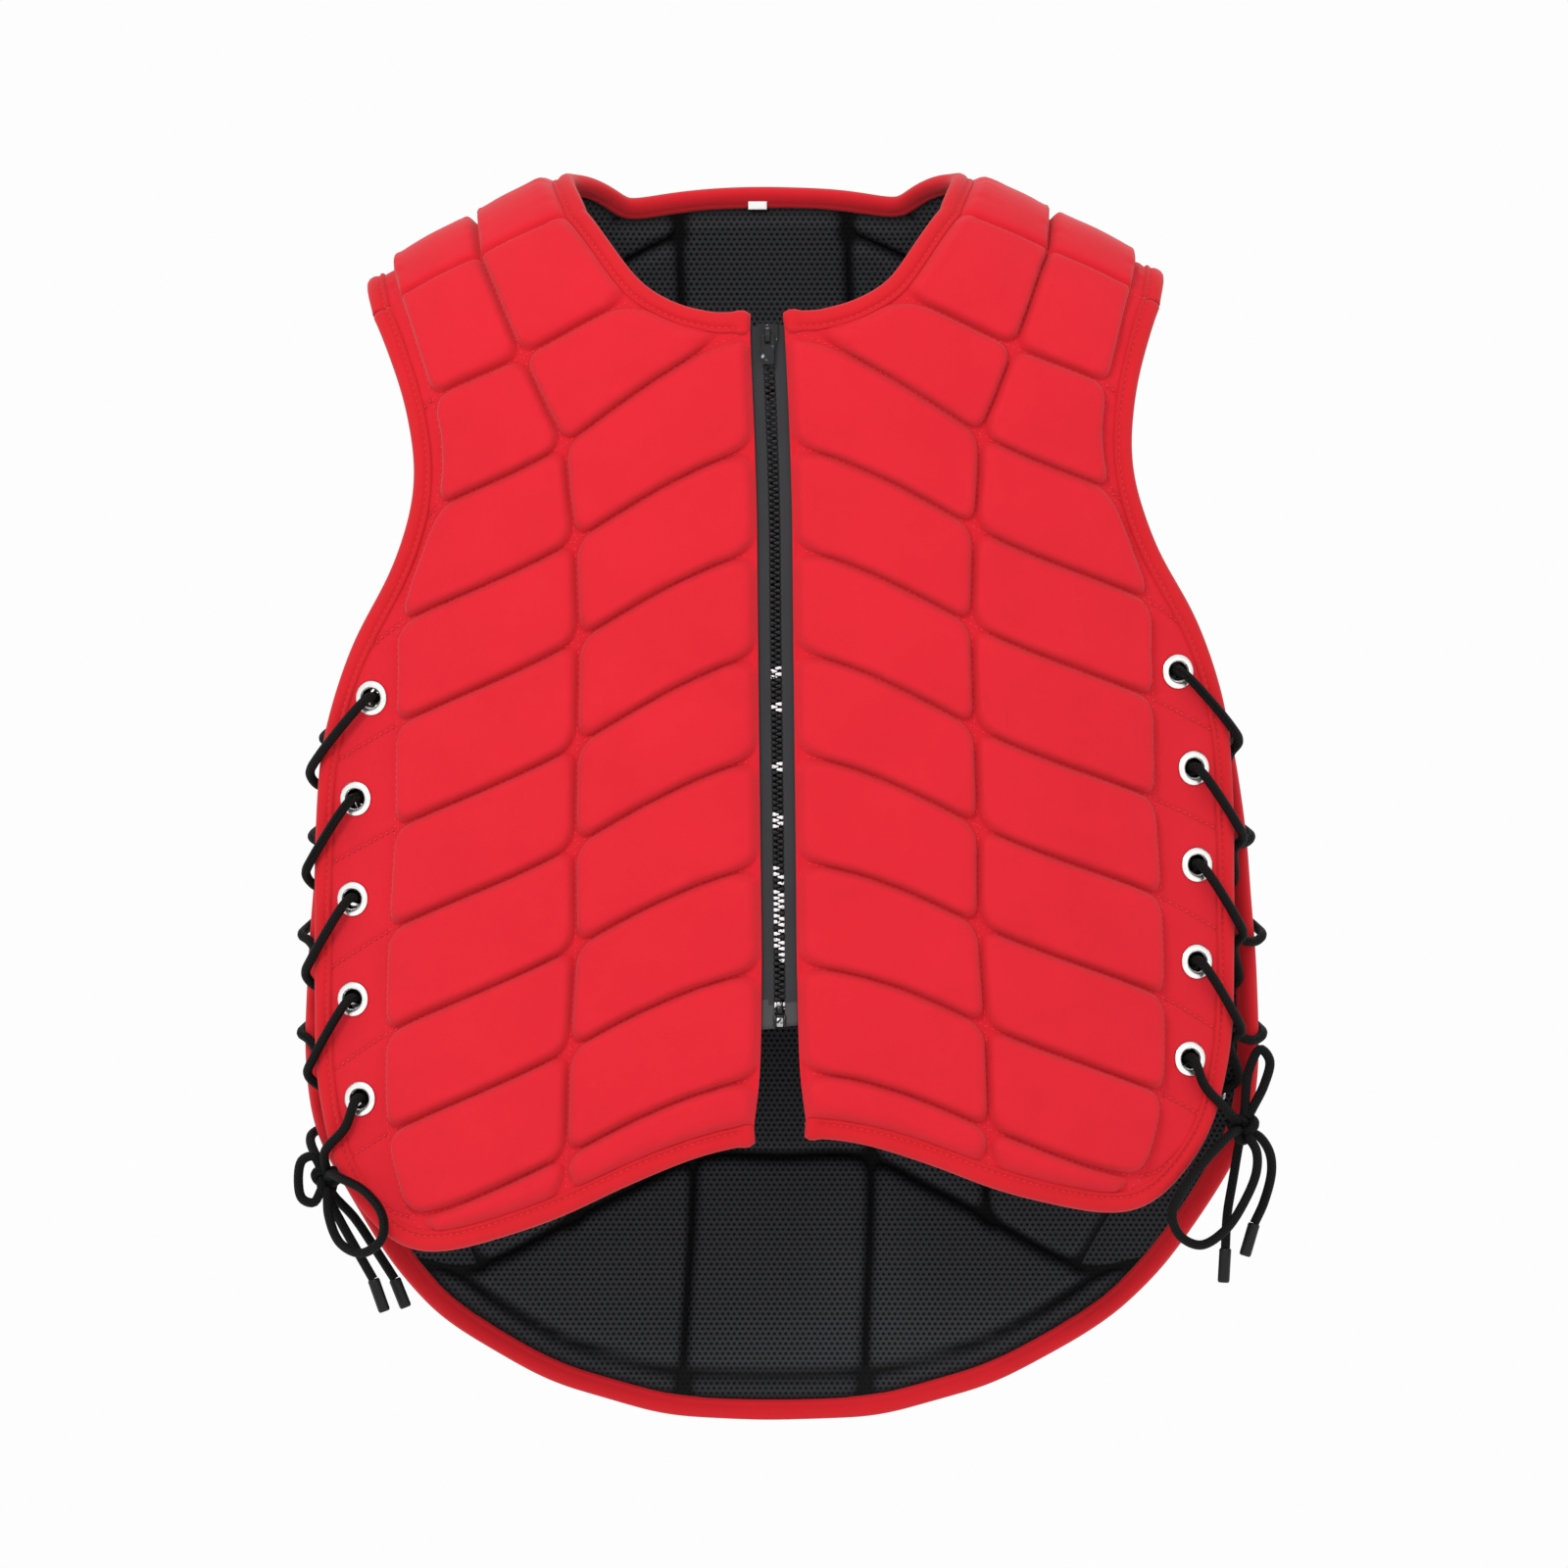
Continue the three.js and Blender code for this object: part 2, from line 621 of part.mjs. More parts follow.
function addBack() {
  const grid = trimmedStart(backGrid(), 1);
  const rowPitch = pitchAlong(grid, 2);
  const rowLines = fineLines(backRowKinds);
  const columnLines = fineLines(backColumnKinds);
  const cutters = (count) => [...eyeletCutters(1, -1, count), ...eyeletCutters(1, 1, count)];
  const layer = (direction, wall, rise) =>
    wallGeometry({
      grid,
      rowPitch,
      rowLines,
      columnLines,
      isPart: isBackCell,
      relief: (place, rowLine, columnLine) => {
        const lift = backLift(grid, rowPitch, rowLine, columnLine);
        return pointOff(place, direction * (gap / 2 + wall + rise * lift), 1);
      },
      plain: (place) => pointOff(place, (direction * gap) / 2, 1),
    });
  add("back_panel", cutHoles(layer(1, shellWall, blockRise), cutters(panelHoleSides)), redCloth());
  add("back_lining", cutHoles(layer(-1, liningWall, liningRise), cutters(liningHoleSides)), blackMesh());
}

// Binding: a soft bar just outside an edge, with mitred corners
const bindingSection = [
  [0, -0.42], [0, 0.42], [0.5, 0.5], [1, 0.22], [1, -0.22], [0.5, -0.5],
].map(([out, up]) => [gap + out * bindingWidth, up * bindingThick]);

function bindingGeometry(places, outwardSign) {
  const legs = places.slice(1).map((place, i) => place.point.clone().sub(places[i].point).normalize());
  const stations = places.map(({ point, normal, face }, i) => {
    const before = legs[Math.max(i - 1, 0)];
    const after = legs[Math.min(i, legs.length - 1)];
    const outs = [before, after].map((leg) =>
      new THREE.Vector3().crossVectors(leg, normal).multiplyScalar(outwardSign).normalize(),
    );
    const out = outs[0].clone().add(outs[1]).normalize();
    out.divideScalar(Math.max(out.dot(outs[0]), mitreLimit));
    const tip = point.clone().add(out);
    const lifted = point.clone().add(normal);
    const centre = settle(point, face);
    return { centre, out: settle(tip, face).sub(centre), up: settle(lifted, face).sub(centre) };
  });
  return barGeometry(stations, bindingSection);
}

function addBindings() {
  const fronts = Object.fromEntries(sides.map(({ name, sign }) => [name, frontGrid(sign)]));
  const withFace = (face) => (place) => ({ ...place, face });
  const lastColumn = frontColumnKinds.length - 1;
  for (const side of sides) {
    const grid = fronts[side.name];
    const down = grid.map((row) => row[lastColumn]);
    const along = grid[grid.length - 1].slice(0, -1).reverse();
    const path = [...down, ...along].map(withFace(-1));
    path[0] = withFace(-1)(blend(path[0], path[1], gap / path[0].point.distanceTo(path[1].point)));
    add(`front_binding_${side.name}`, bindingGeometry(path, -side.sign), redTape());
  }
  const back = backGrid();
  const lastRow = back.length - 1;
  const widest = back[0].length - 1;
  const backPath = [
    ...back.map((row) => row[0]),
    ...back[lastRow].slice(1, -1),
    ...back.map((row) => row[widest]).reverse(),
  ].map(withFace(1));
  add("back_binding", bindingGeometry(backPath, -1), redTape());
  const neckHalf = (side, column) => [
    ...fronts[side].slice(0, zipRow + 1).map((row) => row[0]).reverse().map(withFace(-1)),
    ...back.slice(1, backNeckRow).map((row) => row[column]).map(withFace(1)),
  ];
  const neckPath = [
    ...neckHalf("left", strapColumns.left),
    ...back[backNeckRow].slice(strapColumns.left, strapColumns.right + 1).map(withFace(1)),
    ...neckHalf("right", strapColumns.right).reverse(),
  ];
  add("neck_binding", bindingGeometry(neckPath, 1), redTape());
}

// Label: a blank tab sewn to the inside of the neck binding, at the middle of the back
function addLabel() {
  const place = wallPlace(-labelShift, heightAt(backRows[0].centreDown), 1);
  const across = new THREE.Vector3(1, 0, 0);
  const up = new THREE.Vector3().crossVectors(across, place.normal).normalize();
  const turn = new THREE.Matrix4().makeBasis(across, place.normal, up);
  const centre = place.point
    .clone()
    .addScaledVector(up, gap + labelHeight / 2)
    .addScaledVector(place.normal, -(bindingThick + labelThick) / 2 - 2 * gap);
  const box = new THREE.BoxGeometry(labelWidth, labelThick, labelHeight).applyMatrix4(turn);
  add("neck_label", box.translate(...settle(centre, 1).toArray()), whiteSatin());
}

// Zip
function zipStations(x, from, to) {
  return Array.from({ length: zipSteps + 1 }, (_, i) => {
    const { point, normal } = wallPlace(x, lerp(from, to, i / zipSteps), -1);
    return { centre: settle(point, -1), out: new THREE.Vector3(1, 0, 0), up: normal };
  });
}

function rectangle(width, thick) {
  return [[-width / 2, -thick / 2], [-width / 2, thick / 2], [width / 2, thick / 2], [width / 2, -thick / 2]];
}

// An outline of [x, z] points as a plate, its front face at y = front.
function plate(outline, front, thick, holes = []) {
  const shape = new THREE.Shape(outline.map(([x, z]) => new THREE.Vector2(x, z)));
  for (const hole of holes) shape.holes.push(new THREE.Path(hole.map(([x, z]) => new THREE.Vector2(x, z))));
  return new THREE.ExtrudeGeometry(shape, { depth: thick, bevelEnabled: false })
    .rotateX(Math.PI / 2)
    .translate(0, front + thick, 0);
}

// The slider's bridge: a half ring round the pin with two legs, extruded across.
function bridgeGeometry(pinY, pinZ, plateY) {
  const shape = new THREE.Shape();
  shape.moveTo(plateY + gap, pinZ + bridgeOuter);
  shape.lineTo(pinY, pinZ + bridgeOuter);
  shape.absarc(pinY, pinZ, bridgeOuter, Math.PI / 2, -Math.PI / 2, false);
  shape.lineTo(plateY + gap, pinZ - bridgeOuter);
  shape.lineTo(plateY + gap, pinZ - bridgeInner);
  shape.lineTo(pinY, pinZ - bridgeInner);
  shape.absarc(pinY, pinZ, bridgeInner, -Math.PI / 2, Math.PI / 2, true);
  shape.lineTo(plateY + gap, pinZ + bridgeInner);
  const settings = { depth: bridgeWidth, bevelEnabled: false, curveSegments: 6 };
  // The shape's x is the part's y and its y is the part's z, so the extrusion runs along x.
  const axes = new THREE.Matrix4().makeBasis(
    new THREE.Vector3(0, 1, 0), new THREE.Vector3(0, 0, 1), new THREE.Vector3(1, 0, 0),
  );
  return new THREE.ExtrudeGeometry(shape, settings).applyMatrix4(axes).translate(-bridgeWidth / 2, 0, 0);
}

function addZip() {
  const edgeX = frontRows[zipRow].zipOut * halfWidth;
  const tapeInner = boxWidth / 2 + gap;
  const tapeOuter = edgeX - gap;
  const tapeSection = rectangle(tapeOuter - tapeInner, tapeThick);
  const tapeTop = zipTop - sliderNose - gap;
  for (const side of sides) {
    const x = (side.sign * (tapeInner + tapeOuter)) / 2;
    const stations = zipStations(x, tapeTop, zipTop - zipLength);
    add(`zip_tape_${side.name}`, barGeometry(stations, tapeSection), greyTape());
  }
  const stopTop = zipTop - zipLength + boxLength + gap + stopLength;
  const chain = barGeometry(zipStations(0, tapeTop, stopTop + gap), rectangle(chainWidth, chainThick));
  add("zip_chain", chain, blackPlastic());

  const stopPlace = settle(wallPlace(0, stopTop - stopLength / 2, -1).point, -1);
  const stop = new THREE.BoxGeometry(stopWidth, chainThick, stopLength);
  add("zip_bottom_stop", stop.translate(...stopPlace.toArray()), paintedZinc());
  const boxPlace = settle(wallPlace(0, zipTop - zipLength + boxLength / 2, -1).point, -1);
  const box = new THREE.BoxGeometry(boxWidth, boxThick, boxLength);
  add("zip_bottom_box", box.translate(...boxPlace.toArray()), blackPlastic());

  const centre = settle(wallPlace(0, zipTop - sliderLength / 2, -1).point, -1);
  const plateBack = centre.y - chainThick / 2 - gap;
  const plateFront = plateBack - sliderPlate;
  const outline = [
    [-sliderWidth / 2, zipTop], [-sliderWidth / 2, zipTop - sliderLength / 2],
    [-sliderFoot / 2, zipTop - sliderLength], [sliderFoot / 2, zipTop - sliderLength],
    [sliderWidth / 2, zipTop - sliderLength / 2], [sliderWidth / 2, zipTop],
  ];
  const pinY = plateFront - pinStandoff;
  const pinZ = zipTop - bridgeDown;
  const rearBack = centre.y + chainThick / 2 + gap;
  const noseOutline = [
    [-bridgeWidth, zipTop], [-bridgeWidth, zipTop - sliderNose],
    [bridgeWidth, zipTop - sliderNose], [bridgeWidth, zipTop],
  ];
  const slider = [
    plate(outline, plateFront, sliderPlate),
    plate(outline, rearBack, sliderPlate / 2),
    plate(noseOutline, plateFront, rearBack - plateFront + sliderPlate / 2),
    bridgeGeometry(pinY, pinZ, plateFront),
  ]
    .map(solidOf)
    .reduce((joined, piece) => joined.add(piece));
  add("zip_slider", geometryOf(slider).translate(centre.x, 0, 0), paintedZinc());

  const half = pullThick / 2;
  const windowHalf = bridgeWidth / 2 + pullPlay;
  const windowEnd = -bridgeOuter - pullPlay;
  const pullOutline = [
    [-pullWidth / 2, half], [-pullWidth / 2, 1 - pullLength], [1 - pullWidth / 2, -pullLength],
    [pullWidth / 2 - 1, -pullLength], [pullWidth / 2, 1 - pullLength], [pullWidth / 2, half],
  ];
  const pullWindow = [
    [-windowHalf, -half], [windowHalf, -half], [windowHalf, windowEnd], [-windowHalf, windowEnd],
  ];
  const pull = add("zip_pull", plate(pullOutline, -half, pullThick, [pullWindow]), paintedZinc());
  pull.position.set(centre.x, pinY, pinZ);
}

// Lacing. A stitch point lies on a face at a share down the height, so far in from the panel's edge.
const laceRadius = laceDiameter / 2;
const overCloth = gap / 2 + shellWall + 2 * gap + eyeletFlangeThick + laceRadius;
const overBinding = bindingThick / 2 + gap + laceRadius;
const underLining = gap / 2 + liningWall + 2 * gap + laceRadius;

function lacePoint(face, sign, down, inward, off) {
  const edge = edgePlace(face, sign, down);
  const outward = new THREE.Vector3(sign, 0, 0).projectOnPlane(edge.normal).normalize();
  const place =
    inward > 0
      ? wallPlace(edge.point.x - sign * inward, heightAt(down), face)
      : { point: edge.point.clone().addScaledVector(outward, -inward), normal: edge.normal };
  return settle(place.point.clone().addScaledVector(place.normal, off), face);
}

// One strand: out of an eyelet, over its edge, through the side gap, under the far margin to the next eyelet.
// "along" is a share of the drop between the two eyelets, "inward" of the eyelet inset, "beyond" of the binding.
const strandStops = {
  front: table(
    ["target", "along", "inward", "beyond", "off"],
    [
      [0, 0, 1, 0, overCloth],
      [0, 0.5, 0, 0.8, overBinding + 1],
      [0, 0.64, 0, 1.5, laceRadius],
      [0, 0.74, 0, 1.4, -laceDiameter],
      [1, 0.88, 0, 0.5, -overBinding - 1],
      [1, 1, 1, 0, -underLining],
    ],
  ),
  back: table(
    ["target", "along", "inward", "beyond", "off"],
    [
      [0, 0, 1, 0, overCloth],
      [0, 0.36, 0, 0.8, overBinding + 1],
      [0, 0.46, 0, 1.5, laceRadius],
      [0, 0.54, 0, 1.4, -laceDiameter],
      [1, 0.7, 0, 0.5, -overBinding - 1],
      [1, 1, 1, 0, -underLining],
    ],
  ),
};

function strand(from, to) {
  const stops = from.face < 0 ? strandStops.front : strandStops.back;
  return stops.map(({ target, along, inward, beyond, off }) => {
    const face = target ? to.face : from.face;
    const reach = inward * eyeletInset - beyond * bindingWidth;
    return lacePoint(face, from.sign, lerp(from.down, to.down, along), reach, off);
  });
}

// Half of one side's lace: it starts inside at the first eyelet of a face and zigzags down to the last.
function laceHalf(sign, firstFace) {
  const places = Array.from({ length: eyeletCount }, (_, index) => {
    const face = index % 2 === 0 ? firstFace : -firstFace;
    return eyeletPlace(face, sign, index);
  });
  const points = [lacePoint(firstFace, sign, places[0].down, eyeletInset, -underLining)];
  for (let i = 0; i < places.length - 1; i++) points.push(...strand(places[i], places[i + 1]));
  const last = places[places.length - 1];
  const lastWall = last.face < 0 ? "front" : "back";
  const endDown = last.down + laceEndDrops[lastWall];
  points.push(
    lacePoint(last.face, sign, last.down, eyeletInset, overCloth),
    lacePoint(last.face, sign, last.down + laceTurnDrop, eyeletInset * laceTurnInset, overCloth + 1),
    lacePoint(last.face, sign, endDown, -bindingWidth * laceEndsBeyond[lastWall], overBinding - 1),
  );
  return points;
}

// A curve whose equal shares are its own points, so that an extrusion has one step at each.
class StationCurve extends THREE.CatmullRomCurve3 {
  getPointAt(share, target) {
    return this.getPoint(share, target);
  }
  getTangentAt(share, target) {
    return this.getTangent(share, target);
  }
}

function cordGeometry(points, diameter, sideCount, stepsBetween = 1) {
  const section = new THREE.Shape(
    Array.from({ length: sideCount }, (_, i) => {
      const angle = (2 * Math.PI * i) / sideCount;
      return new THREE.Vector2(Math.cos(angle), Math.sin(angle)).multiplyScalar(diameter / 2);
    }),
  );
  return new THREE.ExtrudeGeometry(section, {
    steps: (points.length - 1) * stepsBetween,
    extrudePath: new StationCurve(points, false, "centripetal"),
    bevelEnabled: false,
  });
}

function towards(from, to, distance) {
  return from.clone().add(to.clone().sub(from).setLength(distance));
}

const vectors = (rows) => rows.map((row) => new THREE.Vector3(...row));

// Bows, by hand: each side's knot, its two loops and its two tails with the end of each aglet
const bows = {
  left: {
    knot: [-233, -8, -480],
    loops: [
      [[-231, -21, -477], [-226, -33, -479], [-213, -43, -486], [-204, -47, -498], [-204, -45, -510],
        [-214, -37, -518], [-226, -26, -513], [-232, -19, -499]],
      [[-240, -9, -468], [-246, -7, -470], [-248, -6, -480], [-246, -7, -490], [-240, -8, -492]],
    ],
    tails: [
      [[-232, -5, -490], [-226, -2, -502], [-217, -2, -518], [-209, -2, -532], [-203, -2, -549]],
      [[-230, 1, -488], [-219, 7, -500], [-207, 8, -518], [-198, 8, -532], [-192, 8, -547]],
    ],
  },
  right: {
    knot: [244, -8, -453],
    loops: [
      [[245, -8, -443], [247, -10, -424], [253, -10, -412], [258, -8, -418], [255, -7, -431], [249, -7, -443]],
      [[238, -20, -456], [226, -31, -468], [213, -38, -484], [207, -36, -497], [211, -30, -509],
        [222, -25, -514], [235, -20, -506], [245, -16, -491], [251, -14, -476], [251, -13, -465]],
    ],
    tails: [
      [[253, -5, -458], [258, -3, -466], [259, -2, -476], [255, -2, -492], [250, -2, -503], [245, -2, -520]],
      [[242, 0, -462], [239, 1, -480], [236, 1, -498], [235, 1, -516], [234, 1, -534]],
    ],
  },
};

function addLacing(side) {
  const bow = bows[side.name];
  const knot = new THREE.Vector3(...bow.knot);
  const reach = knotRadius + gap;
  const ends = [laceHalf(side.sign, -1), laceHalf(side.sign, 1)];
  for (const points of ends) points.push(towards(knot, points[points.length - 1], reach + gap));
  const lace = [...ends[0].slice().reverse(), ...ends[1]];
  add(`lacing_${side.name}`, cordGeometry(lace, laceDiameter, laceSides), blackCord());
  const ball = new THREE.OctahedronGeometry(knotRadius, 1).translate(...bow.knot);
  add(`lace_knot_${side.name}`, ball, blackCord());
  bow.loops.forEach((rows, index) => {
    const points = vectors(rows);
    points.unshift(towards(knot, points[0], reach));
    points.push(towards(knot, points[points.length - 1], reach));
    add(`lace_loop_${side.name}_${index + 1}`, cordGeometry(points, laceDiameter, tailSides), blackCord());
  });
  bow.tails.forEach((rows, index) => {
    const points = vectors(rows);
    points.unshift(towards(knot, points[0], reach));
    const agletEnd = points.pop();
    const agletStart = points[points.length - 1];
    const direction = agletEnd.clone().sub(agletStart);
    const aglet = new THREE.CylinderGeometry(
      agletDiameter / 2, agletDiameter / 2, direction.length() - 2 * gap, tailSides,
    );
    const middlePoint = agletStart.clone().lerp(agletEnd, 0.5 + gap / direction.length());
    const turn = new THREE.Quaternion().setFromUnitVectors(new THREE.Vector3(0, 1, 0), direction.clone().normalize());
    aglet.applyQuaternion(turn).translate(...middlePoint.toArray());
    add(`lace_tail_${side.name}_${index + 1}`, cordGeometry(points, laceDiameter, tailSides), blackCord());
    add(`lace_aglet_${side.name}_${index + 1}`, aglet, blackPlastic());
  });
}

addFront(sides[0]);
addFront(sides[1]);
addBack();
addBindings();
addLabel();
addZip();
addEyelets();
for (const side of sides) addLacing(side);

export default vest;
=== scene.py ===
"""The looks of an equestrian body protector: a red quilted foam vest with a black air-mesh lining,
a front zip and a round lace down each side. Sizes are in millimetres until a mesh is made."""

import math

import bpy
import numpy as np
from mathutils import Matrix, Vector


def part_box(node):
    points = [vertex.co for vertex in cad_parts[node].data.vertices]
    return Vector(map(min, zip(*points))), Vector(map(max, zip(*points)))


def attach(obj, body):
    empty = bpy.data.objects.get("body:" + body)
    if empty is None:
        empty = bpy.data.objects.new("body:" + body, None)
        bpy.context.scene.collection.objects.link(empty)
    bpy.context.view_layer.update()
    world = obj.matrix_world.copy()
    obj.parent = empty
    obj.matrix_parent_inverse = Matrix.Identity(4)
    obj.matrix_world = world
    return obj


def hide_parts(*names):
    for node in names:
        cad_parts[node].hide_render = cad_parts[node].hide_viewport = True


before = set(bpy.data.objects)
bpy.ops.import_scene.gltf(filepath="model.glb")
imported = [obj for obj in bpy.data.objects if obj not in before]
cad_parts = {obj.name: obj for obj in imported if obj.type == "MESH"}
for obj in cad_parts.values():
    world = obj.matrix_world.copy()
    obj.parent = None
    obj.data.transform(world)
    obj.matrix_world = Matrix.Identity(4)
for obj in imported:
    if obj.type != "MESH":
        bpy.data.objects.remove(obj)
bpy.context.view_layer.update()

MM = 0.001

# Camera: the photograph is 816 mm wide at the vest and is taken straight from the front with a long lens.
VIEW_CENTRE = (5.0, -30.0, -274.0)
VIEW_WIDTH = 816.0
LENS = 1000.0
SENSOR = 36.0

camera_data = bpy.data.cameras.new("front_camera")
camera_data.lens = LENS
camera_data.sensor_width = SENSOR
camera = bpy.data.objects.new("front_camera", camera_data)
bpy.context.scene.collection.objects.link(camera)
camera_distance = VIEW_WIDTH * LENS / SENSOR
camera_place = (VIEW_CENTRE[0], VIEW_CENTRE[1] - camera_distance, VIEW_CENTRE[2])
camera.location = [value * MM for value in camera_place]
camera.rotation_euler = (math.pi / 2, 0.0, 0.0)
bpy.context.scene.camera = camera

# Overall form, as in the part's source
HEIGHT = 653.0
NECK_PEAK = 46.0
HALF_WIDTH = 240.0
EDGE_DEPTH = 14.0
CHEST_DEPTH = 60.0
BACK_DEPTH = 55.0
ROUNDNESS = 2.3
NECK_HALF_WIDTH = 98.0
SHOULDER_HALF_WIDTH = 207.0
SHOULDER_DROP = 56.0
SHOULDER_ROUND = 110.0
SHOULDER_SPREAD = 50.0
ARMHOLE_FLOOR = -210.0
HEM_SKEW = 10.7
SHOULDER_LEAN = 6.0
ZIP_SLANT = 3.0
BACK_SLIDE = 4.0
QUARTER = math.pi / 2

GAP = 0.3
SHELL_WALL = 2.3
BLOCK_RISE = 6.5
LINING_WALL = 1.8
LINING_RISE = 6.0  # of the back's lining, over the body's side
FRONT_LINING_RISE = 1.2
SHELL_TOP = GAP / 2 + SHELL_WALL  # the cloth's face from the wall's middle surface, without foam
LINING_TOP = GAP / 2 + LINING_WALL
BINDING_WIDTH = 9.5
BINDING_THICK = 8.0

CREST_PEAK = NECK_PEAK - BINDING_THICK / 2
CREST_SLOPE = SHOULDER_DROP / (SHOULDER_HALF_WIDTH - NECK_HALF_WIDTH)

EYELET_COUNT = 5
EYELET_HOLE = 5.0
EYELET_BARREL = 6.0
EYELET_FLANGE = 9.2
EYELET_INSET = 11.7
EYELET_FIRST = 0.411
EYELET_PITCH = 0.0785
BACK_EYELET_DROP = 0.012
LACE_DIAMETER = 5.0
LACE_RADIUS = LACE_DIAMETER / 2
KNOT_RADIUS = 8.0
AGLET_DIAMETER = 6.4

# Front rows from the shoulder seam to the hem: a place (out, down) at the zip, divider, block end and side.
FRONT_ROWS = [
    [(0.418, 0.041), (0.609, 0.073), (0.786, 0.104), (0.815, 0.109)],
    [(0.345, 0.077), (0.568, 0.11), (0.755, 0.141), (0.778, 0.147)],
    [(0.285, 0.105), (0.528, 0.147), (0.727, 0.179), (0.75, 0.187)],
    [(0.15, 0.128), (0.488, 0.182), (0.712, 0.222), (0.737, 0.23)],
    [(0.037, 0.129), (0.45, 0.216), (0.728, 0.264), (0.751, 0.272)],
    [(0.038, 0.175), (0.44, 0.254), (0.77, 0.309), (0.797, 0.32)],
    [(0.038, 0.222), (0.43, 0.291), (0.809, 0.354), (0.878, 0.372)],
    [(0.038, 0.263), (0.426, 0.33), (0.812, 0.394), (0.92, 0.4125)],
    [(0.038, 0.304), (0.423, 0.369), (0.815, 0.433), (0.949, 0.46)],
    [(0.038, 0.386), (0.428, 0.452), (0.819, 0.514), (0.959, 0.54)],
    [(0.038, 0.468), (0.433, 0.531), (0.832, 0.594), (0.96, 0.622)],
    [(0.038, 0.554), (0.434, 0.611), (0.838, 0.675), (0.956, 0.703)],
    [(0.038, 0.637), (0.447, 0.692), (0.834, 0.753), (0.918, 0.771)],
    [(0.044, 0.722), (0.454, 0.775), (0.79, 0.819), (0.868, 0.803)],
    [(0.056, 0.76), (0.456, 0.806), (0.76, 0.834), (0.818, 0.824)],
]
FRONT_GROOVES = (2, 4, 6, 8, 9, 10, 11, 12, 13)
ZIP_CORNER_ROW = 4

# Back rows below the shoulders: the drop at the centre, then spine, middle, divider, block end and side.
BACK_ROWS = [
    [0.027, (0.185, 0.03), (0.31, 0.039), (0.6, 0.07), (0.77, 0.102), (0.8, 0.108)],
    [0.053, (0.185, 0.05), (0.3, 0.067), (0.545, 0.127), (0.722, 0.178), (0.745, 0.187)],
    [0.178, (0.185, 0.178), (0.31, 0.198), (0.46, 0.221), (0.72, 0.268), (0.748, 0.28)],
    [0.256, (0.185, 0.256), (0.31, 0.275), (0.445, 0.298), (0.762, 0.337), (0.81, 0.346)],
    [0.33, (0.185, 0.33), (0.31, 0.348), (0.43, 0.373), (0.8, 0.416), (0.925, 0.43)],
    [0.482, (0.187, 0.482), (0.312, 0.502), (0.43, 0.525), (0.815, 0.572), (0.985, 0.596)],
    [0.635, (0.19, 0.635), (0.315, 0.654), (0.435, 0.678), (0.82, 0.728), (0.988, 0.748)],
    [0.711, (0.192, 0.712), (0.318, 0.733), (0.442, 0.758), (0.76, 0.8), (0.925, 0.799)],
    [0.787, (0.194, 0.789), (0.323, 0.812), (0.45, 0.836), (0.66, 0.874), (0.8, 0.868)],
    [0.985, (0.2, 0.982), (0.335, 0.97), (0.47, 0.954), (0.635, 0.921), (0.72, 0.9)],
]

# Strap rows over each shoulder: face, share of SHOULDER_ROUND below the crest, then out at middle to side.
STRAP_ROWS = [
    (-1, 0.022, (0.446, 0.615, 0.8, 0.826)),
    (1, 0.022, (0.435, 0.612, 0.79, 0.82)),
    (1, 0.09, (0.388, 0.607, 0.782, 0.812)),
]
NECK_ROW = 4
LEFT_STRAP, RIGHT_STRAP = 3, 7  # back columns where the neck's edge runs along the straps
LEFT_SPINE, RIGHT_SPINE = 4, 6


def smoothstep(value, low, high):
    share = np.clip((np.asarray(value, float) - low) / (high - low), 0.0, 1.0)
    return share * share * (3 - 2 * share)


def height_at(down):
    return NECK_PEAK - HEIGHT * np.asarray(down, float)


def crest_height(x):
    out = np.abs(x)
    straight = CREST_PEAK - CREST_SLOPE * (out - NECK_HALF_WIDTH)
    arch = CREST_PEAK + CREST_SLOPE * NECK_HALF_WIDTH * (1 - (out / NECK_HALF_WIDTH) ** 2) / 2
    return np.where(out > NECK_HALF_WIDTH, straight, arch)


def wall_depth(x, z, face):
    """The wall's middle surface: its y at a place in the front view. face is -1 in front, 1 behind."""
    spread = HALF_WIDTH + SHOULDER_SPREAD * smoothstep(z, ARMHOLE_FLOOR, 0)
    bulge = np.where(np.asarray(face) < 0, CHEST_DEPTH, BACK_DEPTH)
    across = np.clip(np.abs(x) / spread, 0, 1) ** ROUNDNESS
    fall = np.clip((crest_height(x) - z) / SHOULDER_ROUND, 0, 1)
    return face * (EDGE_DEPTH + bulge * (1 - across)) * np.sqrt(1 - (1 - fall) ** 2)


def wall_point(x, turn):
    """A wall point by its angle over the shoulder, negative in front. Past a quarter turn it goes down."""
    size = np.abs(turn)
    fall = np.where(size < QUARTER, 1 - np.cos(size), 1 + size - QUARTER)
    z = crest_height(x) - SHOULDER_ROUND * fall
    return np.stack([x, wall_depth(x, z, np.where(turn < 0, -1.0, 1.0)), z], axis=-1)


def turn_at(x, z, face):
    fall = (crest_height(x) - z) / SHOULDER_ROUND
    bent = np.arccos(np.clip(1 - fall, -1, 1))
    return face * np.where(fall < 1, bent, QUARTER + fall - 1)


def unit(vectors):
    return vectors / np.maximum(np.linalg.norm(vectors, axis=-1, keepdims=True), 1e-9)


def wall_normal(x, turn):
    step_x, step_turn = 0.5, 0.005
    along_x = wall_point(x + step_x, turn) - wall_point(x - step_x, turn)
    along_turn = wall_point(x, turn + step_turn) - wall_point(x, turn - step_turn)
    return unit(np.cross(along_x, along_turn))


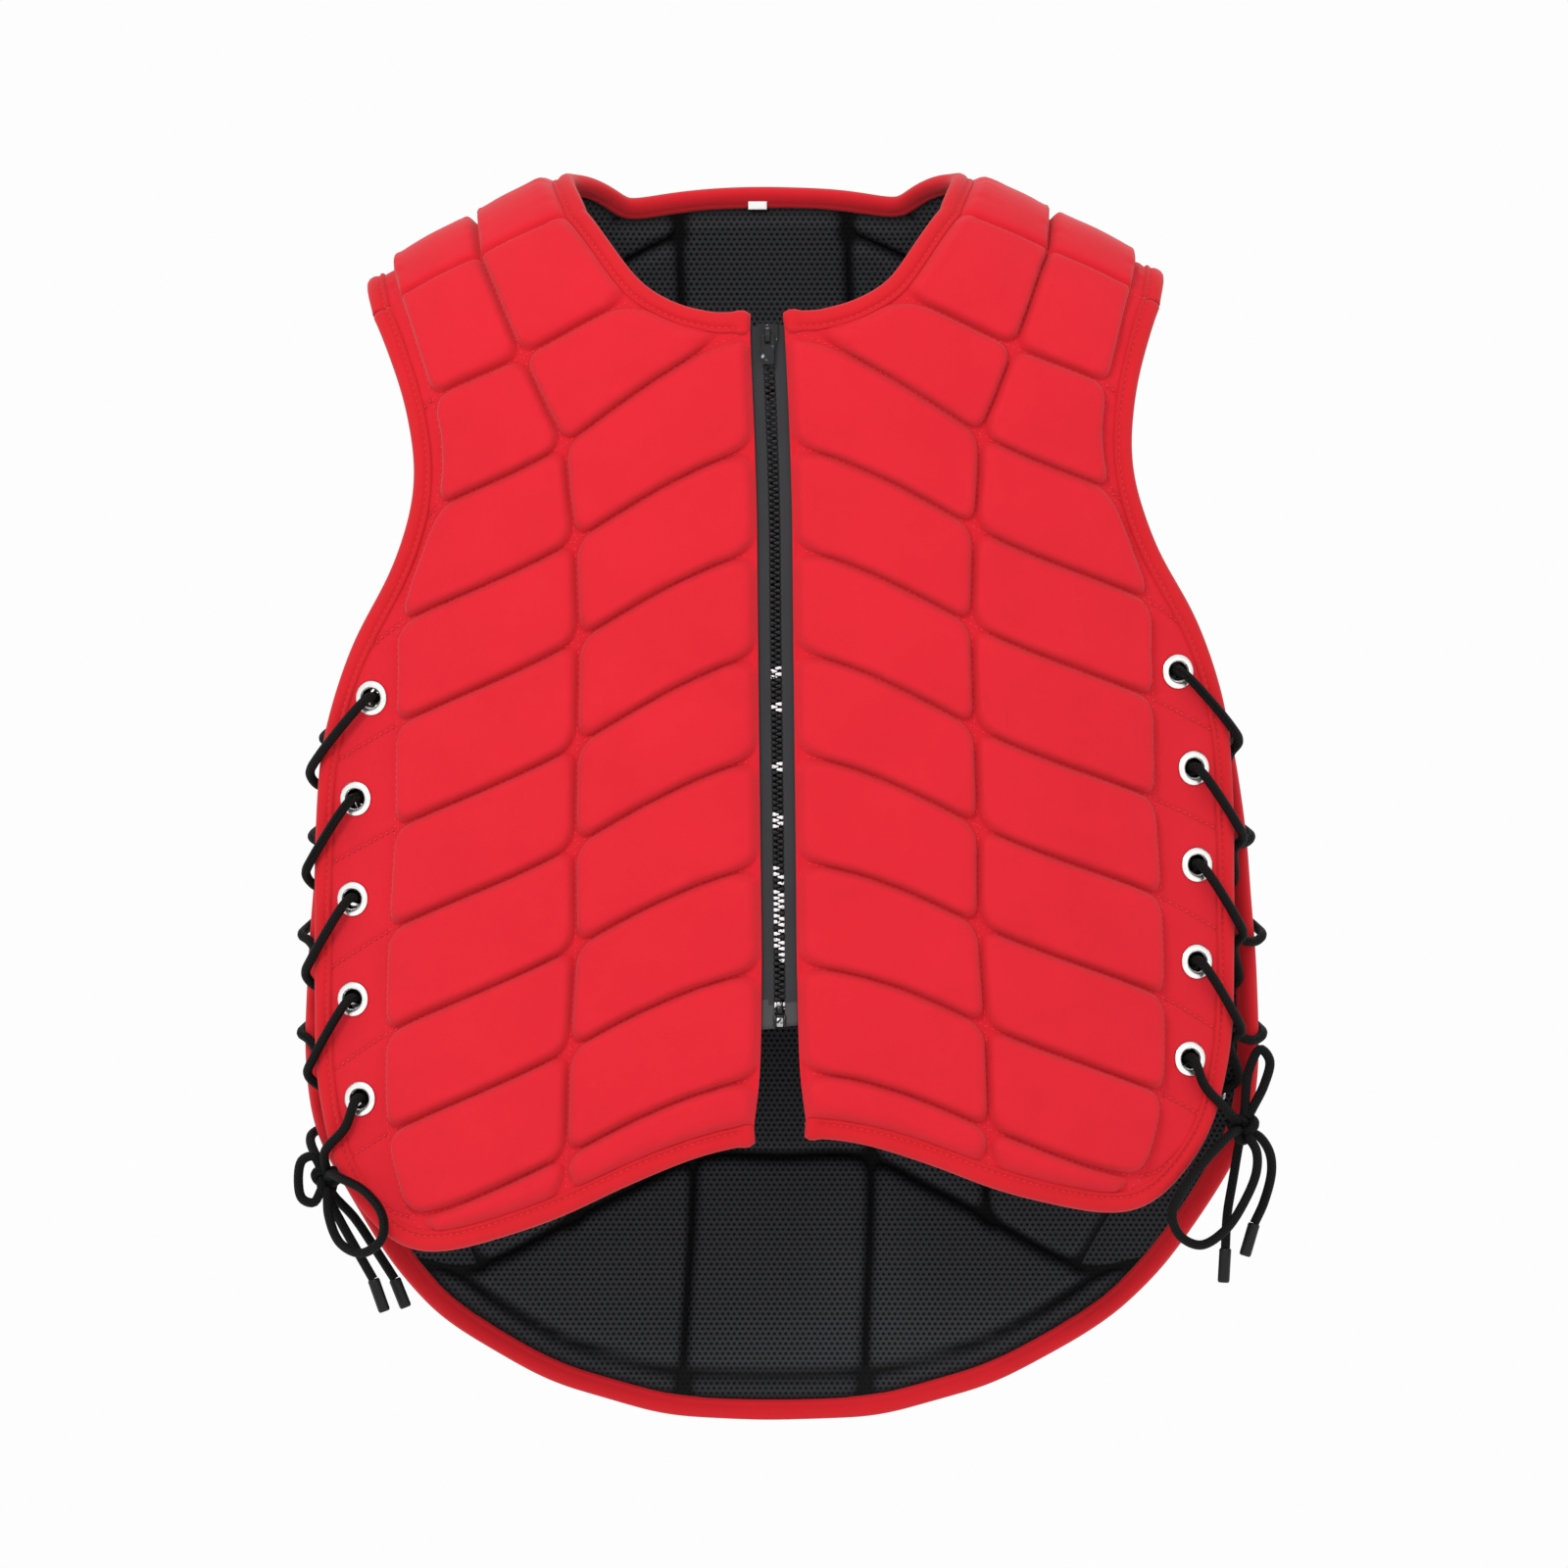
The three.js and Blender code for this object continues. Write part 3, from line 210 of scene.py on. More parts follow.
def settle(points, face):
    """Moves points from the even form to the way the vest hangs."""
    points = np.array(points, float)
    down = np.clip((NECK_PEAK - points[..., 2]) / HEIGHT, 0, 1)
    out = np.abs(points[..., 0]) / HALF_WIDTH
    held = np.where(np.asarray(face) < 0, 1.0, 1 - smoothstep(down, 0.12, 0.4))
    skew = HEM_SKEW * (out / 0.8) ** 0.7 * (down / 0.84) ** 0.7 * held
    lean = -SHOULDER_LEAN * (1 - smoothstep(down, 0, 0.3))
    slant = ZIP_SLANT * smoothstep(down, 0.2, 0.75) * np.maximum(0, 1 - out)
    slide = BACK_SLIDE * smoothstep(down, 0.2, 0.6) * (1 - smoothstep(down, 0.8, 0.97))
    sign = np.sign(points[..., 0])
    points[..., 0] += lean + np.where(np.asarray(face) < 0, slant, slide)
    points[..., 2] += sign * skew
    return points


def place_at(x, z, face):
    turn = turn_at(x, z, face)
    return wall_point(x, turn), wall_normal(x, turn)


def spline(stops, at):
    """A smooth curve through stops, at places given in stop numbers."""
    stops = np.asarray(stops, float)
    at = np.asarray(at, float)
    longer = np.vstack([2 * stops[0] - stops[1], stops, 2 * stops[-1] - stops[-2]])
    first = np.clip(np.floor(at).astype(int), 0, len(stops) - 2)
    around = [longer[first + k] for k in range(4)]
    knots = [np.zeros((len(at), 1))]
    for a, b in zip(around, around[1:]):
        knots.append(knots[-1] + np.sqrt(np.linalg.norm(b - a, axis=1, keepdims=True)) + 1e-9)
    time = knots[1] + (at - first)[:, None] * (knots[2] - knots[1])

    def mix(a, b, start, end):
        return ((end - time) * a + (time - start) * b) / (end - start)

    pairs = [mix(around[k], around[k + 1], knots[k], knots[k + 1]) for k in range(3)]
    triples = [mix(pairs[k], pairs[k + 1], knots[k], knots[k + 2]) for k in range(2)]
    return mix(triples[0], triples[1], knots[1], knots[2])


def arc(points):
    steps = np.linalg.norm(np.diff(points, axis=0), axis=1)
    return np.concatenate([[0.0], np.cumsum(steps)])


def even(points, pitch):
    """A line's points again, an even pitch apart."""
    travelled = arc(points)
    count = max(2, round(travelled[-1] / pitch) + 1)
    wanted = np.linspace(0, travelled[-1], count)
    return np.stack([np.interp(wanted, travelled, points[:, k]) for k in range(points.shape[1])], axis=1)


# Places along the laced edges
def edge_out(face, down):
    rows = FRONT_ROWS if face < 0 else BACK_ROWS
    sides = np.array([row[-1] for row in rows])
    return np.interp(down, sides[:, 1], sides[:, 0])


def edge_place(face, sign, down):
    x = sign * edge_out(face, down) * HALF_WIDTH
    return place_at(np.array(x), height_at(down), face)


def eyelet_place(face, sign, index):
    down = EYELET_FIRST + index * EYELET_PITCH + (BACK_EYELET_DROP if face > 0 else 0)
    edge = edge_place(face, sign, down)[0]
    point, normal = place_at(np.array(edge[0] - sign * EYELET_INSET), height_at(down), face)
    return {"face": face, "sign": sign, "down": down, "point": point, "normal": normal}


RIM_HEIGHT = 1.3
OVER_CLOTH = SHELL_TOP + 2 * GAP + RIM_HEIGHT + LACE_RADIUS
OVER_BINDING = BINDING_THICK / 2 + GAP + LACE_RADIUS
UNDER_LINING = LINING_TOP + 2 * GAP + LACE_RADIUS


def lace_point(face, sign, down, inward, off):
    point, normal = edge_place(face, sign, down)
    if inward > 0:
        point, normal = place_at(np.array(point[0] - sign * inward), height_at(down), face)
    else:
        outward = np.array([sign, 0.0, 0.0])
        outward = unit(outward - normal * outward.dot(normal))
        point = point - outward * inward
    return settle(point + normal * off, face)


# A strand from a front eyelet to a back one, and the other way: on the far panel or not, share of the drop,
# shares of the eyelet's inset and of the binding's width, height over the wall's middle surface.
STRAND_SHARES = {-1: (0, 0.5, 0.64, 0.74, 0.88, 1), 1: (0, 0.36, 0.46, 0.54, 0.7, 1)}
STRAND_STOPS = (
    (0, 1, 0, OVER_CLOTH), (0, 0, 0.8, OVER_BINDING + 1), (0, 0, 1.5, LACE_RADIUS),
    (0, 0, 1.4, -LACE_DIAMETER), (1, 0, 0.5, -OVER_BINDING - 1), (1, 1, 0, -UNDER_LINING),
)
# Where the lace leaves its last eyelet for the knot, by the panel's face: the drop, and the way past the edge
LAST_EYELET_DROP = {-1: 0.04, 1: 0.034}
LAST_EYELET_BEYOND = {-1: 1.2, 1: 1.5}


def strand(start, end):
    points = []
    for share, (is_far, inset, beyond, off) in zip(STRAND_SHARES[start["face"]], STRAND_STOPS):
        face = end["face"] if is_far else start["face"]
        down = start["down"] + (end["down"] - start["down"]) * share
        inward = inset * EYELET_INSET - beyond * BINDING_WIDTH
        points.append(lace_point(face, start["sign"], down, inward, off))
    return points


def lace_half(sign, first_face):
    faces = [first_face if index % 2 == 0 else -first_face for index in range(EYELET_COUNT)]
    places = [eyelet_place(face, sign, index) for index, face in enumerate(faces)]
    points = [lace_point(first_face, sign, places[0]["down"], EYELET_INSET, -UNDER_LINING)]
    for start, end in zip(places, places[1:]):
        points += strand(start, end)
    last = places[-1]
    beyond = BINDING_WIDTH * LAST_EYELET_BEYOND[last["face"]]
    for drop, inward, off in (
        (0, EYELET_INSET, OVER_CLOTH),
        (0.022, EYELET_INSET * 0.3, OVER_CLOTH + 1),
        (LAST_EYELET_DROP[last["face"]], -beyond, OVER_BINDING - 1),
    ):
        points.append(lace_point(last["face"], sign, last["down"] + drop, inward, off))
    return points


# Bows: each side's knot, its two loops and its two tails with the end of each aglet
BOWS = {
    "left": {
        "sign": -1,
        "knot": (-233, -8, -480),
        "loops": [
            [(-231, -21, -477), (-226, -33, -479), (-213, -43, -486), (-204, -47, -498), (-204, -45, -510),
             (-214, -37, -518), (-226, -26, -513), (-232, -19, -499)],
            [(-240, -9, -468), (-246, -7, -470), (-248, -6, -480), (-246, -7, -490), (-240, -8, -492)],
        ],
        "tails": [
            [(-232, -5, -490), (-226, -2, -502), (-217, -2, -518), (-209, -2, -532), (-203, -2, -549)],
            [(-230, 1, -488), (-219, 7, -500), (-207, 8, -518), (-198, 8, -532), (-192, 8, -547)],
        ],
    },
    "right": {
        "sign": 1,
        "knot": (244, -8, -453),
        "loops": [
            [(245, -8, -443), (247, -10, -424), (253, -10, -412), (258, -8, -418), (255, -7, -431),
             (249, -7, -443)],
            [(238, -20, -456), (226, -31, -468), (213, -38, -484), (207, -36, -497), (211, -30, -509),
             (222, -25, -514), (235, -20, -506), (245, -16, -491), (251, -14, -476), (251, -13, -465)],
        ],
        "tails": [
            [(253, -5, -458), (258, -3, -466), (259, -2, -476), (255, -2, -492), (250, -2, -503),
             (245, -2, -520)],
            [(242, 0, -462), (239, 1, -480), (236, 1, -498), (235, 1, -516), (234, 1, -534)],
        ],
    },
}


# Meshes
def make_piece(name, points, faces, material, uv=None, face_materials=None, slot=None, painted_shade=None):
    """A smooth-shaded mesh from points in millimetres. uv holds one (across, along) in mm per point, the
    place in the front view if none is given; the shade values, from 0 to 1 per point, say how much painted
    shade darkens the cloth there."""
    mesh = bpy.data.meshes.new(name)
    points = np.asarray(points, float)
    metres = (points * MM).tolist()
    mesh.from_pydata(metres, [], [tuple(int(i) for i in face) for face in faces])
    for one in material if isinstance(material, list) else [material]:
        mesh.materials.append(one)
    if face_materials is not None:
        mesh.polygons.foreach_set("material_index", np.asarray(face_materials, np.int32))
    uv = points[:, [0, 2]] if uv is None else np.asarray(uv)
    layer = mesh.uv_layers.new(name="millimetres")
    corners = np.zeros(len(mesh.loops), np.int32)
    mesh.loops.foreach_get("vertex_index", corners)
    layer.data.foreach_set("uv", uv.astype(np.float32)[corners].ravel())
    # Painted shade: a darkness from 0 to 1 per point, which the mesh's material reads to paint its grooves
    # darker.
    if painted_shade is not None:
        values = mesh.attributes.new("painted_shade", "FLOAT", "POINT").data
        values.foreach_set("value", np.asarray(painted_shade, np.float32))
    mesh.shade_smooth()
    mesh.validate()
    piece = bpy.data.objects.new(name, mesh)
    bpy.context.scene.collection.objects.link(piece)
    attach(piece, "vest")
    return piece


def ring_faces(count, sides, closed=False):
    """Faces between rings of points, with flat ends; closed joins the last ring to the first instead."""
    faces = []
    for i in range(count if closed else count - 1):
        here, after = i * sides, (i + 1) % count * sides
        for k in range(sides):
            beside = (k + 1) % sides
            faces.append((here + k, here + beside, after + beside, after + k))
    if not closed:
        faces.append(tuple(range(sides))[::-1])
        faces.append(tuple(range((count - 1) * sides, count * sides)))
    return faces


def tube(points, radius, sides=12, taper=None, closed=False):
    """Points, faces and uv of a round cord along a line."""
    points = np.asarray(points, float)
    if closed:
        tangents = unit(np.roll(points, -1, axis=0) - np.roll(points, 1, axis=0))
    else:
        tangents = unit(np.gradient(points, axis=0))
    side = unit(np.cross(tangents[0], [0.3, 1.0, 0.2]))
    angles = np.linspace(0, 2 * math.pi, sides, endpoint=False)
    rings = []
    for i, (point, tangent) in enumerate(zip(points, tangents)):
        side = unit(side - tangent * side.dot(tangent))
        up = np.cross(tangent, side)
        here = radius * (taper[i] if taper is not None else 1.0)
        rings.append(point + here * (np.cos(angles)[:, None] * side + np.sin(angles)[:, None] * up))
    around = np.arange(sides) * 2 * math.pi * radius / sides
    uv = np.stack([np.tile(around, len(rings)), np.repeat(arc(points), sides)], axis=1)
    return np.concatenate(rings), ring_faces(len(rings), sides, closed), uv


def joined(parts):
    """Several (points, faces) as one."""
    points, faces, start = [], [], 0
    for some_points, some_faces in parts:
        points.append(np.asarray(some_points, float))
        faces += [tuple(start + i for i in face) for face in some_faces]
        start += len(some_points)
    return np.concatenate(points), faces


def turned_out(points, faces):
    """The faces in the order that makes them point out."""
    total = 0.0
    for face in faces:
        corners = points[list(face)]
        for k in range(1, len(face) - 1):
            total += corners[0].dot(np.cross(corners[k], corners[k + 1]))
    return faces if total > 0 else [tuple(reversed(face)) for face in faces]


def closed_sheet(outer, inner):
    """Points and faces of a closed wall between two layers of a grid, where the grid has places."""
    known = ~np.isnan(outer[..., 0])
    cells = known[:-1, :-1] & known[1:, :-1] & known[:-1, 1:] & known[1:, 1:]
    number = np.cumsum(known).reshape(known.shape) - 1
    count = int(known.sum())
    faces, rim = [], {}
    for i, j in zip(*np.nonzero(cells)):
        a, b, c, d = number[i, j], number[i, j + 1], number[i + 1, j + 1], number[i + 1, j]
        faces.append((a, b, c, d))
        faces.append((d + count, c + count, b + count, a + count))
        for start, end in ((a, b), (b, c), (c, d), (d, a)):
            if (end, start) in rim:
                del rim[end, start]
            else:
                rim[start, end] = True
    faces += [(b, a, a + count, b + count) for a, b in rim]
    points = np.concatenate([outer[known], inner[known]])
    return points, turned_out(points, faces)


# Materials
def linear(hex_colour):
    """An sRGB hex colour such as "d5202e" as linear RGBA."""
    channels = [int(hex_colour[i : i + 2], 16) / 255 for i in (0, 2, 4)]
    curve = [c / 12.92 if c <= 0.04045 else ((c + 0.055) / 1.055) ** 2.4 for c in channels]
    return (*curve, 1.0)


def add_node(tree, kind, inputs=None, output=0, **settings):
    """Adds a node and returns one of its outputs. An input takes a value or another node's output."""
    made = tree.nodes.new("ShaderNode" + kind)
    for name, value in settings.items():
        setattr(made, name, value)
    for name, value in (inputs or {}).items():
        if isinstance(value, bpy.types.NodeSocket):
            tree.links.new(value, made.inputs[name])
        else:
            made.inputs[name].default_value = value
    return made.outputs[output] if len(made.outputs) else None


def start_material(name):
    material = bpy.data.materials.new(name)
    material.use_nodes = True
    material.node_tree.nodes.clear()
    return material, material.node_tree


def end_material(material, surface):
    """Gives a material its surface: the inputs of its one shader by name."""
    shader = add_node(material.node_tree, "BsdfPrincipled", surface)
    add_node(material.node_tree, "OutputMaterial", {"Surface": shader})
    return material


def woven(tree, millimetres, pitch):
    """Over-and-under weave height from 0 to 1, threads a pitch apart each way."""
    waves = []
    for axis in ("X", "Y"):
        along = add_node(tree, "SeparateXYZ", {"Vector": millimetres}, axis)
        phase = add_node(tree, "Math", {0: along, 1: 2 * math.pi / pitch}, operation="MULTIPLY")
        waves.append(add_node(tree, "Math", {0: phase}, operation="SINE"))
    both = add_node(tree, "Math", {0: waves[0], 1: waves[1]}, operation="MULTIPLY")
    return add_node(tree, "Math", {0: both, 1: 0.5, 2: 0.5}, operation="MULTIPLY_ADD")


def woven_polyester(name, lit, shaded, pitch=1.4, weave_depth=0.05, sheen=0.1):
    """Woven polyester, dyed: a matt cloth with a faint grain and soft, slightly uneven colour."""
    material, tree = start_material(name)
    millimetres = add_node(tree, "UVMap", uv_map="millimetres")
    place = add_node(tree, "TexCoord", output="Object")
    # Threads are really 0.4 mm apart; they are drawn coarser, or none would show.
    weave = woven(tree, millimetres, pitch)
    clouds = add_node(tree, "TexNoise", {"Vector": place, "Scale": 28.0, "Detail": 3.0, "Roughness": 0.6})
    colour = add_node(tree, "Mix", {0: clouds, 6: linear(shaded), 7: linear(lit)}, 2, data_type="RGBA")
    folds = add_node(tree, "TexNoise", {"Vector": place, "Scale": 160.0, "Detail": 2.0, "Distortion": 0.4})
    soft = add_node(tree, "Bump", {"Height": folds, "Strength": 0.35, "Distance": 0.4 * MM})
    fine = {"Height": weave, "Strength": 0.6, "Distance": weave_depth * MM, "Normal": soft}
    return end_material(material, {
        "Base Color": colour,
        "Normal": add_node(tree, "Bump", fine),
        "Roughness": 0.82,
        "IOR": 1.5,
        "Specular IOR Level": 0.2,
        "Sheen Weight": sheen,
        "Sheen Roughness": 0.5,
    })


def knitted_air_mesh():
    """Warp-knitted polyester air mesh, black: rows of small open cells, dark dots in a matt cloth."""
    material, tree = start_material("knitted_air_mesh")
    millimetres = add_node(tree, "UVMap", uv_map="millimetres")
    pitch = 3.0  # from one cell to the next, in millimetres
    turns = 2 * math.pi / (pitch * math.cos(math.radians(30)))
    waves = []
    for degrees in (90, 210, 330):
        angle = math.radians(degrees)
        direction = (turns * math.cos(angle), turns * math.sin(angle), 0)
        phase = add_node(tree, "VectorMath", {0: millimetres, 1: direction}, 1, operation="DOT_PRODUCT")
        waves.append(add_node(tree, "Math", {0: phase}, operation="COSINE"))
    two = add_node(tree, "Math", {0: waves[0], 1: waves[1]}, operation="ADD")
    three = add_node(tree, "Math", {0: two, 1: waves[2]}, operation="ADD")
    openings = {"Value": three, "From Min": 0.1, "From Max": 1.8}
    cell = add_node(tree, "MapRange", openings, interpolation_type="SMOOTHSTEP")
    knit = add_node(tree, "Mix", {0: cell, 6: linear("2f3034"), 7: linear("030304")}, 2, data_type="RGBA")
    # Painted shade: along the quilted grooves the knit is painted near-black, standing in for the shade that
    # falls there.
    painted_shade = add_node(tree, "Attribute", output="Fac", attribute_name="painted_shade")
    colour = add_node(tree, "Mix", {0: painted_shade, 6: knit, 7: linear("060607")}, 2, data_type="RGBA")
    relief = {"Height": cell, "Strength": 1.0, "Distance": 0.9 * MM}
    return end_material(material, {
        "Base Color": colour,
        "Normal": add_node(tree, "Bump", relief, invert=True),
        "Roughness": 0.75,
        "Specular IOR Level": 0.15,
    })


def braided_cord():
    """Braided polyester cord, black: strands cross in a small diamond pattern with a dull gloss."""
    material, tree = start_material("braided_cord")
    millimetres = add_node(tree, "UVMap", uv_map="millimetres")
    # One strand passes every eighth of the way round, at about 45 degrees.
    turns = 2 * math.pi / (math.pi * LACE_DIAMETER / 8)
    waves = []
    for sign in (-1, 1):
        direction = (turns, sign * turns * 0.8, 0)
        phase = add_node(tree, "VectorMath", {0: millimetres, 1: direction}, 1, operation="DOT_PRODUCT")
        waves.append(add_node(tree, "Math", {0: phase}, operation="SINE"))
    strands = add_node(tree, "Math", {0: waves[0], 1: waves[1]}, operation="MAXIMUM")
    return end_material(material, {
        "Base Color": add_node(
            tree, "Mix", {0: strands, 6: linear("040404"), 7: linear("111112")}, 2, data_type="RGBA"
        ),
        "Normal": add_node(tree, "Bump", {"Height": strands, "Strength": 0.9, "Distance": 0.35 * MM}),
        "Roughness": 0.6,
        "Specular IOR Level": 0.12,
    })


def moulded_plastic():
    """Moulded black polypropylene: a satin surface with a very fine grain."""
    material, tree = start_material("moulded_plastic")
    place = add_node(tree, "TexCoord", output="Object")
    grain = add_node(tree, "TexNoise", {"Vector": place, "Scale": 1800.0, "Detail": 2.0})
    return end_material(material, {
        "Base Color": add_node(
            tree, "Mix", {0: grain, 6: linear("0c0c0d"), 7: linear("161617")}, 2, data_type="RGBA"
        ),
        "Normal": add_node(tree, "Bump", {"Height": grain, "Strength": 0.3, "Distance": 0.05 * MM}),
        "Roughness": 0.42,
        "IOR": 1.49,
        "Specular IOR Level": 0.25,
    })


def painted_zinc():
    """Die-cast zinc with black lacquer: a smooth hard gloss, greyer in patches, with a few light grey spots
    of painted highlight standing in for glints.
    """
    material, tree = start_material("painted_zinc")
    place = add_node(tree, "TexCoord", output="Object")
    patches = add_node(tree, "TexNoise", {"Vector": place, "Scale": 300.0, "Detail": 1.0})
    thin, thick = linear("1c1d1f"), linear("08090a")
    paint = add_node(tree, "Mix", {0: patches, 6: thick, 7: thin}, 2, data_type="RGBA")
    # Painted highlight: light grey spots on the lacquer, standing in for glints.
    painted_glints = add_node(tree, "MapRange", {"Value": patches, "From Min": 0.64, "From Max": 0.7})
    return end_material(material, {
        "Base Color": add_node(tree, "Mix", {0: painted_glints, 6: paint, 7: linear("8e9092")}, 2, data_type="RGBA"),
        "Roughness": add_node(tree, "MapRange", {"Value": patches, "To Min": 0.22, "To Max": 0.42}),
        "IOR": 1.5,
        "Specular IOR Level": 0.3,
    })


def bare_zinc_and_glints(name, metal_colour, wear_and_glint_from):
    """Black with patches of bright metal: zinc worn bare of its lacquer on the bottom stop and box, and
    painted highlights standing in for glints on the teeth.
    """
    material, tree = start_material(name)
    place = add_node(tree, "TexCoord", output="Object")
    wear = add_node(tree, "TexNoise", {"Vector": place, "Scale": 420.0, "Detail": 1.0})
    # On the teeth these bright patches are painted highlights standing in for glints; on the bottom stop and
    # box they are bare zinc.
    worn = add_node(tree, "MapRange", {"Value": wear, "From Min": wear_and_glint_from, "From Max": wear_and_glint_from + 0.08})
    return end_material(material, {
        "Base Color": add_node(
            tree, "Mix", {0: worn, 6: linear("141415"), 7: linear(metal_colour)}, 2, data_type="RGBA"
        ),
        "Metallic": 0.7,
        "Roughness": 0.35,
    })


def nickel_plated_brass(name, dull, bright):
    """Pressed brass with nickel plating: soft reflections and faint press marks. Given dark colours, it is
    painted shade for the inside of the eyelets' bores.
    """
    material, tree = start_material(name)
    place = add_node(tree, "TexCoord", output="Object")
    marks = add_node(tree, "TexNoise", {"Vector": place, "Scale": 350.0, "Detail": 3.0})
    return end_material(material, {
        "Base Color": add_node(
            tree, "Mix", {0: marks, 6: linear(dull), 7: linear(bright)}, 2, data_type="RGBA"
        ),
        "Roughness": add_node(tree, "MapRange", {"Value": marks, "To Min": 0.2, "To Max": 0.36}),
        "Metallic": 1.0,
    })


RED_CLOTH = woven_polyester("red_woven_polyester", "ca1828", "bd1322")
RED_TAPE = woven_polyester("red_folded_tape", "c41421", "b8101b", 1.1, 0.08)
RED_THREAD = woven_polyester("red_sewing_thread", "dc3440", "cc2430", 0.8)
ZIP_CLOTH = woven_polyester("zip_polyester_tape", "323335", "28292b", 1.2, 0.12)
WHITE_SATIN = woven_polyester("white_satin_ribbon", "f4f4f2", "e8e8e6", 1.0, sheen=0.3)
AIR_MESH = knitted_air_mesh()
CORD = braided_cord()
PLASTIC = moulded_plastic()
LACQUER = painted_zinc()
# Painted highlight: bright metal on the fronts of some teeth, standing in for glints.
PAINTED_TOOTH_GLINTS = bare_zinc_and_glints("painted_tooth_glints", "dcdcde", 0.3)
WORN_METAL = bare_zinc_and_glints("worn_zinc", "a9aaab", 0.4)
NICKEL = nickel_plated_brass("nickel_plated_brass", "e6e6e4", "fafaf8")
# Painted shade: the eyelets' bores are coloured near-black, standing in for the shade inside the holes.
PAINTED_BORE_SHADE = nickel_plated_brass("painted_shade_in_bore", "141414", "202020")
TAPE_FILM = woven_polyester("film_on_zip_tape", "48494a", "3c3d3e", 1.2, 0.04, sheen=0.0)


# Laces
CORD_PITCH = 1.6
LACE_INTO_KNOT = 2.0  # how far the drawn cords run into the knot
BOW_INTO_KNOT = 3.0
KNOT_CORD_OVERLAP = 1.2
KNOT_HALF_DEPTH = 2.6
# An aglet's rounding: places from its start and from its end, and the share of its radius at each
AGLET_START = (0.0, 0.6, 1.2, 2.0)
AGLET_END = (1.4, 0.5, 0.1)
AGLET_ROUNDING = (0.86, 0.97, 1.0, 0.98, 0.98, 0.98, 0.9, 0.72)


def towards(start, end, distance):
    start, end = np.asarray(start, float), np.asarray(end, float)
    return start + unit(end - start) * distance


def smooth_cord(points):
    spans = len(points) - 1
    return even(spline(points, np.linspace(0, spans, 12 * spans + 1)), CORD_PITCH)


def add_cord(name, node, points):
    line = smooth_cord(points)
    shape, faces, uv = tube(line, LACE_RADIUS)
    piece = make_piece(name, shape, faces, CORD, uv, slot="black_cord")
    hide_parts(node)


def knot_line(centre):
    """A trefoil, the shape that a tied cord shows from outside."""
    turns = np.linspace(0, 2 * math.pi, 60, endpoint=False)
    wide = np.sin(turns) + 2 * np.sin(2 * turns)
    tall = np.cos(turns) - 2 * np.cos(2 * turns)
    deep = -np.sin(3 * turns)
    size = (KNOT_RADIUS - KNOT_CORD_OVERLAP) / 3
    return centre + np.stack([size * wide, KNOT_HALF_DEPTH * deep, size * tall], axis=1)


def add_aglet(name, node, start, end):
    start, end = np.array(start, float), np.array(end, float)
    length = float(np.linalg.norm(end - start))
    stops = np.array([*AGLET_START, length / 2, *[length - place for place in AGLET_END]])
    line = start + stops[:, None] * unit(end - start)
    shape, faces, uv = tube(line, AGLET_DIAMETER / 2, 20, AGLET_ROUNDING)
    piece = make_piece(name, shape, faces, PLASTIC, uv, slot="aglet_plastic")
    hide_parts(node)
    return piece


for side, bow in BOWS.items():
    knot = np.array(bow["knot"], float)
    reach = KNOT_RADIUS + GAP
    halves = [lace_half(bow["sign"], face) for face in (-1, 1)]
    for points in halves:
        points.append(towards(knot, points[-1], reach - LACE_INTO_KNOT))
    shape, faces, uv = tube(knot_line(knot), LACE_RADIUS, closed=True)
    knot_piece = make_piece(f"tied_knot_{side}", shape, faces, CORD, uv, slot="black_cord")
    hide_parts(f"lace_knot_{side}")
    crossing = [*halves[0][::-1], *halves[1]]
    add_cord(f"crossed_lace_{side}", f"lacing_{side}", crossing)
    reach -= BOW_INTO_KNOT
    for index, rows in enumerate(bow["loops"], 1):
        points = [towards(knot, rows[0], reach), *rows, towards(knot, rows[-1], reach)]
        add_cord(f"bow_loop_{side}_{index}", f"lace_loop_{side}_{index}", points)
    for index, rows in enumerate(bow["tails"], 1):
        points = [towards(knot, rows[0], reach), *rows[:-1]]
        aglet = add_aglet(f"aglet_{side}_{index}", f"lace_aglet_{side}_{index}", rows[-2], rows[-1])
        add_cord(
            f"bow_tail_{side}_{index}", f"lace_tail_{side}_{index}", points
        )


# Quilted walls
NEAR_LINES = (0.7, 1.5, 2.5, 3.8, 5.5, 8.0)  # distances from a groove, where the relief bends most
PLAIN_STEP = 3.6


def line_places(lengths, shaped):
    """Grid lines in stop numbers: close together beside a shaped line, PLAIN_STEP apart elsewhere."""
    places = [0.0]
    for i, length in enumerate(lengths):
        near = [d for d in NEAR_LINES if d < length * 0.45]
        start = near if shaped[i] else []
        end = [length - d for d in reversed(near)] if shaped[i + 1] else []
        low, high = (start[-1] if start else 0.0), (end[0] if end else length)
        count = max(1, math.ceil((high - low) / PLAIN_STEP))
        middle = np.linspace(low, high, count + 1)[1:-1]
        places += [i + d / length for d in (*start, *middle, *end)] + [i + 1.0]
    return np.array(places)


def front_stops(sign):
    rows = []
    for row in FRONT_ROWS:
        x = np.array([sign * out * HALF_WIDTH for out, _ in row])
        z = height_at([down for _, down in row])
        rows.append(np.stack([x, turn_at(x, z, -1) * SHOULDER_ROUND], axis=1))
    return np.array(rows)


